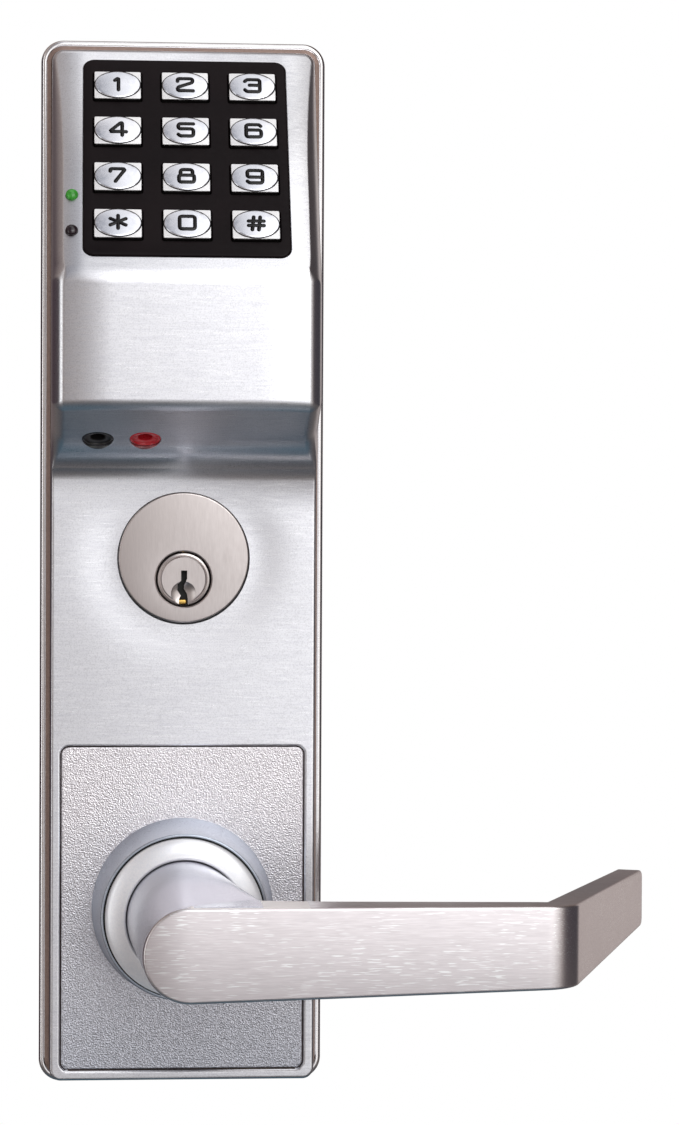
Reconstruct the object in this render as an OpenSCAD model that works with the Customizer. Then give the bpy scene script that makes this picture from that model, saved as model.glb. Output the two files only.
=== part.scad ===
// Keypad smart lock: outside trim of an electronic mortise lock.
// Millimetres. +Z up, the front faces -Y, the door's face is the plane y = 0,
// and the origin is where the lever's axis meets the door's face.

/* [Escutcheon] */
// Width of the escutcheon
plate_w = 76.2; // [74:0.1:80]
// Height of the escutcheon
plate_h = 280; // [278:0.5:284]
// Height of the lever's axis above the bottom edge
axis_h = 48.8; // [48:0.1:52]
// Thickness of the rim that lies on the door
rim_t = 3; // [2.5:0.1:3.2]
// Width of the rim round the raised body
rim_w = 3; // [2.5:0.1:3.5]
// Corner radius of the rim
rim_r = 6; // [4:0.5:8]
// Wall thickness of the casting
wall = 2.5; // [2:0.1:2.8]
// Distance of the mid body's front from the door
mid_d = 18.7; // [18:0.1:20]

/* [Keypad housing] */
// Distance of the housing's front from the door
house_d = 44; // [42:0.5:46]
// Height of the ridge where the sloped face meets the front face
ridge_z = 166; // [164:0.5:168]
// Height of the front face's bottom edge
sill_z = 132; // [130:0.5:134]
// Distance of the sloped face's top edge from the door
top_d = 7.5; // [7:0.1:9]
// Angle between the underside and the door's face
under_a = 66; // [64:1:70]
// Radius of the cove under the housing
cove_r = 6; // [5:0.5:6]
// Bevel of the housing's side edges
side_c = 2.6; // [2:0.1:3]

/* [Keypad] */
// Height of the keypad's centre
pad_z = 197.9; // [197:0.1:199]
// Width of the bezel
bezel_w = 53.8; // [53:0.1:55]
// Length of the bezel along the slope
bezel_h = 63; // [62:0.1:66]
// Width of a key
key_w = 12.2; // [11:0.1:12.4]
// Height of a key along the slope
key_h = 8.7; // [8:0.1:9.5]
// Distance between columns of keys
pitch_x = 17.8; // [17:0.1:18.5]
// Distance between rows of keys
pitch_y = 14.8; // [14.3:0.05:15.3]
// Travel of a key
key_travel = 1; // [0.5:0.1:1]

/* [Key cylinder] */
// Height of the cylinder's centre above the lever's axis
cyl_z = 93; // [92:0.1:94]
// Diameter of the cylinder's head
head_dia = 34.5; // [34:0.1:35]
// Diameter of the cylinder's threaded barrel
barrel_dia = 29.4; // [29:0.1:29.6]
// Diameter of the plug
plug_dia = 12.7; // [12.5:0.1:13]
// Distance of the plug's centre below the cylinder's
plug_drop = 5.7; // [5.5:0.1:6]

/* [Lever] */
// Distance of the lever's front face from the door
lever_d = 86; // [84:0.5:88]
// Distance of the bend from the lever's axis
bend_x = 93; // [90:1:96]
// Distance of the tip from the lever's axis
tip_x = 123.4; // [120:0.2:126]
// Distance of the tip from the door
tip_d = 12; // [11:0.5:14]
// Radius of the lever's round end
end_r = 11.8; // [11.5:0.1:12]
// Radius of the rose at its base
rose_r = 24; // [23.5:0.1:25]
// Distance of the rose's front edge from the door
rose_d = 37.4; // [36.5:0.1:38]
// Width of the square spindle
spindle_w = 8; // [7:0.1:8]

/* [Hidden] */
$fn = 64;

// Colours
satin_chrome = [0.74, 0.74, 0.76];
dull_steel = [0.55, 0.56, 0.58];
black = [0.06, 0.05, 0.06];
brass_tone = [0.80, 0.65, 0.32];

// The raised body
bottom_z = -axis_h + rim_w;
top_z = plate_h - axis_h - rim_w;
body_x = plate_w / 2 - rim_w;
body_r = rim_r - rim_w;
slope_a = atan((house_d - top_d) / (top_z - ridge_z));
gasket_t = 0.8;
panel_w = 64.4;
panel_h = 86;
panel_deep = 0.5;
panel_d = mid_d - panel_deep;

// The keypad's layers, as heights over the sloped face
bezel_proud = 0.6;
bezel_back = -1;
key_proud = 1.6;
pad_proud = 2.2;
pad_arc_r = 6.85;
pad_arc_shift = 2.6;
flange_gap = 0.1;
flange_t = 0.8;
stem_low = -3.3;
dome_top = stem_low - key_travel - 0.1;
mat_back = dome_top - 1.5;
board_back = mat_back - 1.2;
bezel_r = 3;
window_w = 50;
window_h = 59;

// Indicator lights and sockets
led_x = -29.7;
led_r = 1.55;
led_rows = [-12.3, -23.5];
jack_x = [-22.8, -10.4];
jack_r = 4.05;
jack_bore_r = 2;
jack_t = 19.2;

// Back plate and fasteners
back_t = 1.5;
boss_r = 3.2;
boss_pilot_r = 1.25;
boss_x = 28.5;
boss_z = [-39, 68, 150];
post_x = 22;
post_z = [-34, 206];
post_len = 9;
tap_r = 2.1;
board_hole_x = 29.9;
board_hole_y = [-30.1, 24.4];
board_y = -0.6;
board_w = 63.4;
board_h = 64;

// Key cylinder
plug_z = cyl_z - plug_drop;
head_back = 15.4;
head_front = 19;
plug_face_r = 7.1;
plug_face_t = 2.3;
cam_screw_x = 3.6;
barrel_end = -14;
thread_end = -0.5;
pin_r = 1.4;
pin_depths = [11, 7, 3, -1, -5];
shear = plug_dia / 2;

// Lever and its shafts
hub_r = 10;
hub_bore_r = 7.2;
bushing_r = 13;
hub_back = 5;
neck_back = 38.5;
neck_r = 15;
neck_end_r = 11.6;
ring_hole_r = 15.3;
ring_front = 41;
lever_z = -2.9;
hub_thick = 16;
return_t = 7.6;
return_a = atan((tip_x - bend_x) / (lever_d - tip_d));

// Local frame of everything: x = X, y = Z, z = distance from the door
module front() rotate([90, 0, 0]) children();
// On the sloped face: x across, y up the slope, z out of it
module on_slope()
    front() translate([0, pad_z, house_d - (pad_z - ridge_z) * tan(slope_a)]) rotate([-slope_a, 0, 0]) children();
// On the housing's underside at the row of sockets, z out of it
module on_underside()
    front() translate([0, sill_z - jack_t * cos(under_a), house_d - jack_t * sin(under_a)])
        rotate([under_a, 0, 0]) children();

module rounded(w, h, r) {
    translate([-w / 2 + r, -h / 2]) square([w - 2 * r, h]);
    translate([-w / 2, -h / 2 + r]) square([w, h - 2 * r]);
    for (x = [-1, 1], y = [-1, 1]) translate([x * (w / 2 - r), y * (h / 2 - r)]) circle(r);
}
module slab(w, h, r, low, high) translate([0, 0, low]) linear_extrude(high - low) rounded(w, h, r);
module disc(r, low, high) translate([0, 0, low]) cylinder(r = r, h = high - low);
module tube(r_out, r_in, low, high) {
    difference() {
        disc(r_out, low, high);
        disc(r_in, low - 1, high + 1);
    }
}
module ring_of(points) rotate_extrude($fn = 96) polygon(points);

// A round wire along a path, as one closed tube
function unit(v) = v / norm(v);
function tangent(p, i) = unit(p[min(i + 1, len(p) - 1)] - p[max(i - 1, 0)]);
function wire_ring(p, i, r, sides, up) =
    let (t = tangent(p, i), a = unit(cross(t, up)), b = cross(t, a))
    [for (k = [0 : sides - 1]) p[i] + r * (cos(360 * k / sides) * a + sin(360 * k / sides) * b)];
module wire(path, r, sides, up) {
    n = len(path);
    points = [for (i = [0 : n - 1]) each wire_ring(path, i, r, sides, up)];
    first = [[for (k = [0 : sides - 1]) k]];
    last = [[for (k = [sides - 1 : -1 : 0]) (n - 1) * sides + k]];
    skin = [for (i = [0 : n - 2], k = [0 : sides - 1])
        [i * sides + k, (i + 1) * sides + k, (i + 1) * sides + (k + 1) % sides, i * sides + (k + 1) % sides]];
    polyhedron(points, concat(first, last, skin), convexity = 6);
}
function helix(r, low, high, turns, steps) =
    [for (i = [0 : turns * steps])
        [r * cos(360 * i / steps), r * sin(360 * i / steps), low + (high - low) * i / (turns * steps)]];

// Side outline of the body, drawn in by w: [distance from the door, height]
function under_z(d, w) = sill_z - (house_d - d) / tan(under_a) + w / sin(under_a);
function slope_z(d, w) = ridge_z + (house_d - d) / tan(slope_a) - w / sin(slope_a);
cove_centre = [mid_d + cove_r, under_z(mid_d, 0) - cove_r * tan(under_a / 2)];
function arc(c, r, from, to, n) = [for (i = [0 : n]) let (a = from + (to - from) * i / n) c + r * [cos(a), sin(a)]];
function side_outline(w) = concat(
    [[-1, bottom_z + w], [mid_d - w, bottom_z + w]],
    arc(cove_centre, cove_r + w, 180, 180 - under_a, 8),
    [[house_d - w, under_z(house_d - w, w)],
     [house_d - w, slope_z(house_d - w, w)],
     [house_d - (top_z - w - ridge_z + w / sin(slope_a)) * tan(slope_a), top_z - w],
     [-1, top_z - w]]);
module side_extrude(outline, w) rotate([90, 0, -90]) linear_extrude(w, center = true) polygon(outline);

// What is cut away to bevel a straight edge that lies along y at x = 0, z = 0
module edge_cut(c, from, to)
    translate([0, to, 0]) rotate([90, 0, 0]) linear_extrude(to - from) polygon([[-c - 1, 1], [1, 1], [1, -c - 1]]);
module side_cuts() {
    slope_len = (top_z - ridge_z) / cos(slope_a);
    for (side = [0, 1]) mirror([side, 0, 0]) {
        front() translate([body_x, 0, house_d]) edge_cut(side_c, sill_z - 20, ridge_z + 1);
        front() translate([body_x, ridge_z, house_d]) rotate([-slope_a, 0, 0])
            edge_cut(side_c, -1, slope_len + 2);
    }
}
module body_solid() {
    difference() {
        intersection() {
            side_extrude(side_outline(0), 2 * body_x);
            front() translate([0, (top_z + bottom_z) / 2, 0])
                slab(2 * body_x, top_z - bottom_z, body_r, 0, house_d + 1);
        }
        side_cuts();
    }
}
module body_cavity() {
    intersection() {
        side_extrude(side_outline(wall), 2 * (body_x - wall));
        front() translate([0, (top_z + bottom_z) / 2, 0])
            slab(2 * (body_x - wall), top_z - bottom_z - 2 * wall, 1.5, -1, house_d);
    }
}

module escutcheon() {
    color(satin_chrome) difference() {
        union() {
            front() translate([0, plate_h / 2 - axis_h, 0]) slab(plate_w, plate_h, rim_r, 0, rim_t);
            body_solid();
        }
        difference() {
            body_cavity();
            // Screw bosses and the cylinder's seat stay standing in the cavity
            front() for (x = [-boss_x, boss_x], z = boss_z) translate([x, z, back_t]) cylinder(r = boss_r, h = 50);
            front() translate([0, cyl_z, 12.9]) cylinder(r = head_dia / 2 + 2.5, h = 5);
            on_slope() for (x = [-board_hole_x, board_hole_x], y = board_hole_y)
                translate([x, y, mat_back]) cylinder(r = 1.7, h = 5);
        }
        front() for (x = [-boss_x, boss_x], z = boss_z) translate([x, z, 0]) cylinder(r = boss_pilot_r, h = 12);
        front() translate([0, 0, panel_d]) linear_extrude(2) rounded(panel_w, panel_h, 2.2);
        front() disc(bushing_r + 0.2, 10, 30);
        front() translate([0, cyl_z, 0]) disc(barrel_dia / 2 + 0.3, 0, 30);
        front() translate([0, cyl_z, 0]) disc(head_dia / 2 + 0.25, head_back, 30);
        on_slope() slab(bezel_w + 0.2, bezel_h + 0.2, bezel_r + 0.1, bezel_back, 5);
        on_slope() slab(window_w, window_h, 2, -6, 5);
        on_slope() for (y = led_rows) translate([led_x, y, 0]) disc(led_r + 0.05, -6, 5);
        on_slope() for (x = [-board_hole_x, board_hole_x], y = board_hole_y) translate([x, y, 0])
            disc(0.8, mat_back - 1, -1.2);
        on_underside() for (x = jack_x) translate([x, 0, 0]) disc(jack_r + 0.05, -8, 5);
        gasket_ring(-1, gasket_t);
    }
}

module back_plate() {
    color(dull_steel) front() difference() {
        translate([0, (top_z + bottom_z) / 2, 0])
            slab(2 * (body_x - wall) - 0.4, top_z - bottom_z - 2 * wall - 0.4, 1.5, 0, back_t);
        disc(11, -1, 5);
        translate([0, cyl_z, 0]) disc(barrel_dia / 2 + 0.5, -1, 5);
        for (x = [-boss_x, boss_x], z = boss_z) translate([x, z, 0]) disc(1.6, -1, 5);
        for (x = [-post_x, post_x], z = post_z) translate([x, z, 0]) disc(2.5, -1, 5);
        translate([0, 45, 0]) slab(22, 12, 2, -1, 5);
    }
}

module screw_shape(shank_r, head_r, length, head_h) {
    difference() {
        union() {
            disc(head_r, -head_h, 0);
            disc(shank_r, 0, length);
        }
        for (a = [0, 90]) rotate(a) translate([-head_r * 0.6, -0.25, -head_h - 1]) cube([head_r * 1.2, 0.5, 1 + head_h / 2]);
    }
}
module back_plate_screws() {
    color(dull_steel) front() for (x = [-boss_x, boss_x], z = boss_z)
        translate([x, z, 0]) screw_shape(1.2, 2.6, 9, 1.2);
}
// The gasket fills a shallow groove in the rim's back
module gasket_ring(low, high) {
    front() translate([0, (top_z + bottom_z) / 2, 0]) difference() {
        slab(plate_w - 1.2, plate_h - 1.2, rim_r - 0.6, low, high);
        slab(plate_w - 5, plate_h - 5, rim_r - 2, low - 1, high + 1);
    }
}
module gasket() color([0.12, 0.12, 0.12]) gasket_ring(0, gasket_t);
module mounting_posts() {
    color(dull_steel) front() for (x = [-post_x, post_x], z = post_z) translate([x, z, 0]) difference() {
        union() {
            disc(4.5, -post_len, 0);
            disc(2.5, 0, back_t + 0.4);
        }
        disc(tap_r, -post_len - 1, -1);
    }
}

module each_key_place() for (c = [-1 : 1], r = [-1.5 : 1 : 1.5]) translate([c * pitch_x, r * pitch_y, 0]) children();
module keypad_bezel() {
    color(black) on_slope() difference() {
        slab(bezel_w, bezel_h, bezel_r, bezel_back, bezel_proud);
        each_key_place() slab(key_w + 0.6, key_h + 0.6, 0.5, -3, 3);
    }
}
module key(column, row) {
    color(satin_chrome) on_slope() translate([column * pitch_x, row * pitch_y, 0]) {
        slab(key_w, key_h, 0.4, bezel_back - flange_gap, key_proud);
        slab(key_w + 1.8, key_h + 1.8, 0.8, bezel_back - flange_gap - flange_t, bezel_back - flange_gap);
        disc(1.5, stem_low, bezel_back - flange_gap - flange_t);
        // The oval pad: the part of a large disc that two sides trim
        translate([0, 0, key_proud]) linear_extrude(pad_proud - key_proud) intersection() {
            translate([0, -pad_arc_shift]) circle(pad_arc_r, $fn = 96);
            translate([0, pad_arc_shift]) circle(pad_arc_r, $fn = 96);
            square([key_w - 0.2, key_h - 0.2], center = true);
        }
    }
}
module keypad_mat() {
    color([0.25, 0.25, 0.27]) on_slope() {
        difference() {
            slab(window_w + 5, window_h + 2, 2, mat_back, -wall);
            slab(window_w + 1, window_h - 1, 1.5, mat_back + 1, 0);
        }
        each_key_place() disc(3.5, mat_back + 0.5, dome_top);
    }
}
module circuit_board() {
    color([0.10, 0.35, 0.18]) on_slope() difference() {
        translate([0, board_y, 0]) slab(board_w, board_h, 1, board_back, mat_back);
        for (x = [-board_hole_x, board_hole_x], y = board_hole_y) translate([x, y, 0]) disc(1.1, -12, 0);
    }
}
module board_components() {
    chips = [[0, 2, 10, 10, 1.6], [-16, 5, 8, 6, 1.4], [14, 6, 6, 5, 1.4], [2, -12, 7, 5, 1.4], [20, -14, 5, 4, 2]];
    small = [for (i = [0 : 5]) [-24 + 6 * i, 14, 2.4, 1.4, 0.9]];
    color([0.14, 0.14, 0.15]) on_slope() for (c = concat(chips, small))
        translate([c[0] - c[2] / 2, c[1] - c[3] / 2, board_back - c[4]]) cube([c[2], c[3], c[4]]);
}
module board_screws() {
    color(dull_steel) on_slope() for (x = [-board_hole_x, board_hole_x], y = board_hole_y)
        translate([x, y, board_back]) screw_shape(0.75, 1.5, 4.5, 0.9);
}
module buzzer() {
    color(black) on_slope() translate([-13, -18, 0]) difference() {
        disc(6, board_back - 5, board_back);
        disc(1, board_back - 6, board_back - 4);
    }
}
module cable_header() {
    color([0.9, 0.88, 0.8]) on_slope() translate([12, -25, 0]) difference() {
        translate([-8, -3, board_back - 5]) cube([16, 6, 5]);
        translate([-7, -2, board_back - 6]) cube([14, 4, 4]);
    }
}
module led_lens(row, tone) {
    color(tone) on_slope() translate([led_x, led_rows[row], 0]) {
        disc(led_r, mat_back, 0.3);
        intersection() {
            translate([0, 0, -0.9]) sphere(2, $fn = 48);
            disc(led_r, 0.3, 2);
        }
    }
}

module jack(i, tone) {
    color(tone) on_underside() translate([jack_x[i], 0, 0]) difference() {
        disc(jack_r, -12, 0);
        disc(jack_bore_r, -9, 1);
        translate([0, 0, -0.4]) cylinder(r1 = jack_bore_r, r2 = jack_bore_r + 0.5, h = 0.41);
    }
}
module jack_contacts() {
    color(brass_tone) on_underside() for (x = jack_x) translate([x, 0, 0]) disc(1, -14, -12);
}
module jack_nuts() {
    color(dull_steel) on_underside() for (x = jack_x) translate([x, 0, -5.4]) difference() {
        cylinder(r = 6, h = 2.4, $fn = 6);
        disc(jack_r, -1, 4);
    }
}

module cylinder_shell() {
    color(satin_chrome) front() difference() {
        translate([0, cyl_z, 0]) union() {
            disc(head_dia / 2, head_back, head_front);
            disc(barrel_dia / 2, barrel_end, thread_end);
            disc(barrel_dia / 2 - 0.2, thread_end, head_back);
        }
        translate([0, plug_z, 0]) disc(plug_dia / 2 + 0.05, barrel_end - 1, head_front + 1);
        translate([0, plug_z, 0]) disc(plug_face_r + 0.15, head_front - plug_face_t - 0.1, head_front + 1);
        for (d = pin_depths) translate([0, plug_z + 3, d]) rotate([-90, 0, 0]) cylinder(r = pin_r + 0.05, h = 15.5);
    }
}
module keyway() {
    // Zig-zag slot, open at the plug's bottom edge
    polygon([[-0.5, 2.2], [0.9, 2.2], [0.9, -0.4], [1.5, -1.8], [0.6, -3.4], [1.1, -4.6], [1.1, -9],
        [-0.9, -9], [-0.9, -4.4], [-1.1, -3.2], [-0.2, -1.6], [-0.8, -0.4]]);
}
module plug() {
    color(satin_chrome) front() translate([0, plug_z, 0]) difference() {
        union() {
            disc(plug_dia / 2, barrel_end, head_front - plug_face_t);
            disc(plug_face_r, head_front - plug_face_t, head_front);
        }
        translate([0, 0, barrel_end + 4]) linear_extrude(40) keyway();
        for (d = pin_depths) translate([0, 1, d]) rotate([-90, 0, 0]) cylinder(r = pin_r + 0.05, h = 8);
        for (x = [-cam_screw_x, cam_screw_x]) translate([x, 0, 0]) disc(1.05, barrel_end - 1, barrel_end + 5);
        translate([0, -4, head_front + 5.2]) sphere(6.2, $fn = 64);
    }
}
module bottom_pins() {
    color(brass_tone) front() for (i = [0 : 4]) translate([0, plug_z + 2.3, pin_depths[i]])
        rotate([-90, 0, 0]) cylinder(r = pin_r, h = 3.8);
}
module driver_pins() {
    color(brass_tone) front() for (i = [0 : 4]) translate([0, plug_z + shear + 0.15, pin_depths[i]])
        rotate([-90, 0, 0]) cylinder(r = pin_r, h = 4.6 - 0.3 * (i % 3));
}
module pin_springs() {
    color(dull_steel) front() for (i = [0 : 4]) translate([0, 0, pin_depths[i]]) rotate([-90, 0, 0])
        wire(helix(1, plug_z + shear + 5.2, plug_z + 18.1, 4, 7), 0.2, 5, [0, 0, 1]);
}
module cam() {
    color(brass_tone) front() translate([0, plug_z, 0]) difference() {
        translate([0, 0, barrel_end - 2.8]) linear_extrude(2.6) union() {
            circle(6);
            translate([-3.2, 0]) square([6.4, 14]);
            translate([0, 14]) circle(3.2);
        }
        for (x = [-cam_screw_x, cam_screw_x]) translate([x, 0, 0]) disc(1.3, barrel_end - 5, barrel_end);
    }
}
module cam_screws() {
    color(dull_steel) front() for (x = [-cam_screw_x, cam_screw_x]) translate([x, plug_z, barrel_end - 2.8])
        screw_shape(1, 1.9, 7, 1.1);
}

module rose() {
    base = panel_d;
    color(satin_chrome) front() ring_of([[rose_r - 2, base], [rose_r, base], [21.6, rose_d - 0.2], [21.4, rose_d],
        [19.4, rose_d]]);
}
module dress_ring() {
    color(satin_chrome) front() ring_of([[21.4, rose_d], [ring_hole_r + 0.5, ring_front], [ring_hole_r, ring_front - 0.2],
        [ring_hole_r, ring_front - 3], [19, rose_d - 1.2], [19.3, rose_d - 1.2], [19.3, rose_d]]);
}
module hub_bushing() color(brass_tone) front() tube(bushing_r, hub_r + 0.05, 13.2, 36);
module spring_cage() {
    color(dull_steel) front() {
        tube(21.2, bushing_r, panel_d, panel_d + 1.5);
        for (a = [60, 120]) rotate(a) translate([18, 0, 0]) disc(1.2, panel_d + 1.5, 30);
    }
}
module return_spring() {
    coil = helix(15, 21.5, 33, 5, 16);
    color(dull_steel) front() wire(concat(coil, [[17.5, 1.5, 33.1]]), 0.7, 8, [0, 0, 1]);
}

// Plan of the lever: [distance from its axis, distance from the door]
module lever_plan() {
    inner_shift = return_t / cos(return_a);
    polygon(concat(
        [[-end_r, lever_d], [-end_r, lever_d - hub_thick], [12, lever_d - hub_thick], [30, lever_d - 12.6],
         [bend_x - inner_shift - 1, lever_d - 9.6]],
        [[tip_x - inner_shift - 0.4, tip_d + 0.6], [tip_x - inner_shift + 1, tip_d], [tip_x - 0.8, tip_d]],
        arc([bend_x + 2.4 - 6, lever_d - 6], 6, return_a, 90, 6)));
}
module lever() {
    color(satin_chrome) front() difference() {
        union() {
            intersection() {
                translate([0, 20, 0]) rotate([90, 0, 0]) linear_extrude(50) lever_plan();
                linear_extrude(lever_d + 1) union() {
                    translate([0, lever_z]) circle(end_r, $fn = 96);
                    polygon([[0, lever_z + end_r], [tip_x - 2, lever_z + end_r], [tip_x, lever_z + end_r - 2],
                        [tip_x, -4.6], [tip_x - 1.6, -6.4], [bend_x, -11.7], [0, lever_z - end_r]]);
                }
            }
            difference() {
                union() {
                    disc(neck_r, neck_back, 44);
                    translate([0, 0, 44]) cylinder(r1 = neck_r, r2 = neck_end_r, h = lever_d - 8 - 44);
                }
                translate([-30, lever_z + end_r, 60]) cube([60, 20, 30]);
            }
        }
        disc(hub_r + 0.02, neck_back - 1, 56);
        translate([0, -9, 50]) rotate([90, 0, 0]) cylinder(r = 2.05, h = 10);
    }
}
module lever_hub() {
    color(dull_steel) front() difference() {
        disc(hub_r, hub_back, 55.5);
        disc(hub_bore_r, hub_back - 1, 24);
        tube(hub_r + 1, hub_r - 0.8, 11.8, 13);
        translate([-2.1, 5, 6.9]) cube([4.2, 10, 4.2]);
    }
}
module lever_set_screw() {
    color(dull_steel) front() translate([0, -hub_r - 0.1, 50]) rotate([90, 0, 0]) difference() {
        cylinder(r = 2, h = 2.6);
        translate([0, 0, 1.4]) cylinder(r = 1, h = 3, $fn = 6);
    }
}
module retaining_ring() {
    color(dull_steel) front() difference() {
        tube(12.4, hub_r - 0.8, 11.8, 13);
        translate([-2.5, -14, 11]) cube([5, 8, 3]);
    }
}
module drive_ring() {
    color(dull_steel) front() difference() {
        tube(14, hub_r, hub_back + 0.4, 11.6);
        translate([-2.1, 5, 6.9]) cube([4.2, 12, 4.2]);
    }
}
module clutch_dog() {
    color(brass_tone) front() {
        translate([-2, 5, 7]) cube([4, 10.4, 4]);
        translate([-3, 14.2, 6.4]) cube([6, 1.8, 5.2]);
    }
}
module spindle() {
    color(dull_steel) front() union() {
        translate([-spindle_w / 2, -spindle_w / 2, -25]) cube([spindle_w, spindle_w, 29]);
        disc(3.9, 4, 18);
    }
}
module spindle_collar() {
    color(brass_tone) front() difference() {
        disc(7, 4, 14);
        disc(3.9, 3, 15);
        translate([-2.15, 4.8, 6.85]) cube([4.3, 5, 4.3]);
    }
}
module clutch_motor() {
    color(dull_steel) front() translate([6, 25.5, 9]) rotate([0, 90, 0]) union() {
        cylinder(r = 6, h = 20);
        translate([0, 0, 20]) cylinder(r = 2, h = 1.5);
    }
}
module motor_bracket() {
    color(dull_steel) front() {
        translate([4.5, 19.3, back_t]) difference() {
            cube([1.5, 12.4, 13.5]);
            translate([-1, 6.2, 7.5]) rotate([0, 90, 0]) cylinder(r = 1.2, h = 4);
        }
        translate([6, 19.3, back_t]) cube([18, 12.4, 1.2]);
    }
}
module motor_cam() {
    color(brass_tone) front() translate([0, 25.5, 9]) rotate([0, 90, 0]) union() {
        translate([0, 0, -1.5]) cylinder(r = 1, h = 7.5);
        translate([1.1, 0, -1.5]) cylinder(r = 2.9, h = 3);
    }
}

escutcheon();
back_plate();
back_plate_screws();
gasket();
mounting_posts();
keypad_bezel();
key(-1, 1.5);  // key_1
key(0, 1.5);  // key_2
key(1, 1.5);  // key_3
key(-1, 0.5);  // key_4
key(0, 0.5);  // key_5
key(1, 0.5);  // key_6
key(-1, -0.5);  // key_7
key(0, -0.5);  // key_8
key(1, -0.5);  // key_9
key(-1, -1.5);  // key_star
key(0, -1.5);  // key_0
key(1, -1.5);  // key_hash
keypad_mat();
circuit_board();
board_components();
board_screws();
buzzer();
cable_header();
led_lens(0, [0.25, 0.75, 0.25]);  // green_led_lens
led_lens(1, [0.15, 0.10, 0.12]);  // dark_led_lens
jack(0, black);  // black_jack
jack(1, [0.75, 0.12, 0.15]);  // red_jack
jack_contacts();
jack_nuts();
cylinder_shell();
plug();
bottom_pins();
driver_pins();
pin_springs();
cam();
cam_screws();
rose();
dress_ring();
hub_bushing();
spring_cage();
return_spring();
lever();
lever_hub();
lever_set_screw();
retaining_ring();
drive_ring();
clutch_dog();
spindle();
spindle_collar();
clutch_motor();
motor_bracket();
motor_cam();
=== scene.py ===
import math

import bmesh
import bpy
import numpy as np
from mathutils import Matrix, Vector


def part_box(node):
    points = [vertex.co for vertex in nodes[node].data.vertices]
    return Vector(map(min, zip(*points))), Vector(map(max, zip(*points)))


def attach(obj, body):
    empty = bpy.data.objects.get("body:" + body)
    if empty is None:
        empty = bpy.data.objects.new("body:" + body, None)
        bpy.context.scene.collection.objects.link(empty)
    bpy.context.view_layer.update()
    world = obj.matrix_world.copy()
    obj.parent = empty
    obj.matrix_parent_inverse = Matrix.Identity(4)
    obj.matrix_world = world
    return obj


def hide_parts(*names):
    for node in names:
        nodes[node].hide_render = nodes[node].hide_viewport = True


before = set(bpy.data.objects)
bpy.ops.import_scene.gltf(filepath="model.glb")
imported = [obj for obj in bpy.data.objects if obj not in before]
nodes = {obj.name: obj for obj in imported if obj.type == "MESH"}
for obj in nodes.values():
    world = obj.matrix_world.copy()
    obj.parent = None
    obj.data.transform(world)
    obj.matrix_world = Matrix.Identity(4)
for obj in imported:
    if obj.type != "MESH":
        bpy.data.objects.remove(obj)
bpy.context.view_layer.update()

# Everything is worked out in millimetres as (x, d, z): d is the distance from the door, so y = -d.
MM = 0.001


def node_box(name):
    """Lowest and highest (x, d, z) of a CAD node, in millimetres."""
    low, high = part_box(name)
    return (
        np.array((low.x, -high.y, low.z)) / MM,
        np.array((high.x, -low.y, high.z)) / MM,
    )


# ---------------------------------------------------------------- sizes, from the frame
plate_low, plate_high = node_box("escutcheon")
PLATE_X = plate_high[0]
PLATE_TOP = plate_high[2]
PLATE_BOTTOM = plate_low[2]
HOUSE_D = plate_high[1]
RIM_T = 3.0
RIM_W = 3.0
RIM_R = 6.0
MID_D = 18.7
TOP_D = 7.5
RIDGE_Z = 166.0
SILL_Z = 132.0
UNDER_A = math.radians(66.0)
WALL = 2.5
BODY_X = PLATE_X - RIM_W
BODY_TOP = PLATE_TOP - RIM_W
BODY_BOTTOM = PLATE_BOTTOM + RIM_W
BODY_R = RIM_R - RIM_W
SLOPE_A = math.atan((HOUSE_D - TOP_D) / (BODY_TOP - RIDGE_Z))

PANEL_X = 32.2
PANEL_Z = 43.0
PANEL_R = 2.2
PANEL_DEEP = 0.5
DISH_DEEP = 0.32

PAD_Z = 197.9
KEY_COLUMNS = (-1, 0, 1)
KEY_ROWS = (-1.5, -0.5, 0.5, 1.5)
PITCH_X = 17.8
PITCH_Y = 14.8
KEY_W = 12.2
KEY_H = 8.7
BEZEL_W = 53.8
BEZEL_H = 63.0
BEZEL_TOP = 0.6
KEY_TOP = 1.6
LIGHT_X = -29.7
LIGHT_ROWS = {"green": -12.3, "dark": -23.5}
LIGHT_R = 1.6
JACK_X = {"black": -22.8, "red": -10.4}
JACK_T = 19.2
JACK_HOLE_R = 4.15
WINDOW_W = 50
WINDOW_H = 59
LEVER_HOLE_R = 13.2

cyl_low, cyl_high = node_box("cylinder_shell")
CYL_Z = (cyl_low[2] + cyl_high[2]) / 2
CYL_R = (cyl_high[2] - cyl_low[2]) / 2
CYL_D = cyl_high[1]
plug_low, plug_high = node_box("plug")
PLUG_R = plug_high[0]
PLUG_DROP = 5.7
PLUG_Z = CYL_Z - PLUG_DROP
BARREL_R = 14.7
BARREL_END = -14.0
HEAD_BACK = 15.4
GROOVES = 14

rose_low, rose_high = node_box("rose")
ROSE_R = rose_high[0]
ROSE_D = rose_high[1]
ring_low, ring_high = node_box("dress_ring")
RING_D = ring_high[1]
RING_HOLE_R = 15.3

lever_low, lever_high = node_box("lever")
LEVER_D = lever_high[1]
LEVER_TIP_D = lever_low[1]
LEVER_END_R = 11.8
LEVER_Z = -2.9
NECK_R = 15.0
NECK_BACK = 38.5
NECK_WIDE = 20.0


# ---------------------------------------------------------------- local frames
def slope_to_body(points):
    """(x, up the slope, out of the slope) to (x, d, z)."""
    x, up, out = np.asarray(points, float).reshape(-1, 3).T
    base_d = HOUSE_D - (PAD_Z - RIDGE_Z) * math.tan(SLOPE_A)
    s, c = math.sin(SLOPE_A), math.cos(SLOPE_A)
    return np.column_stack((x, base_d - up * s + out * c, PAD_Z + up * c + out * s))


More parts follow.
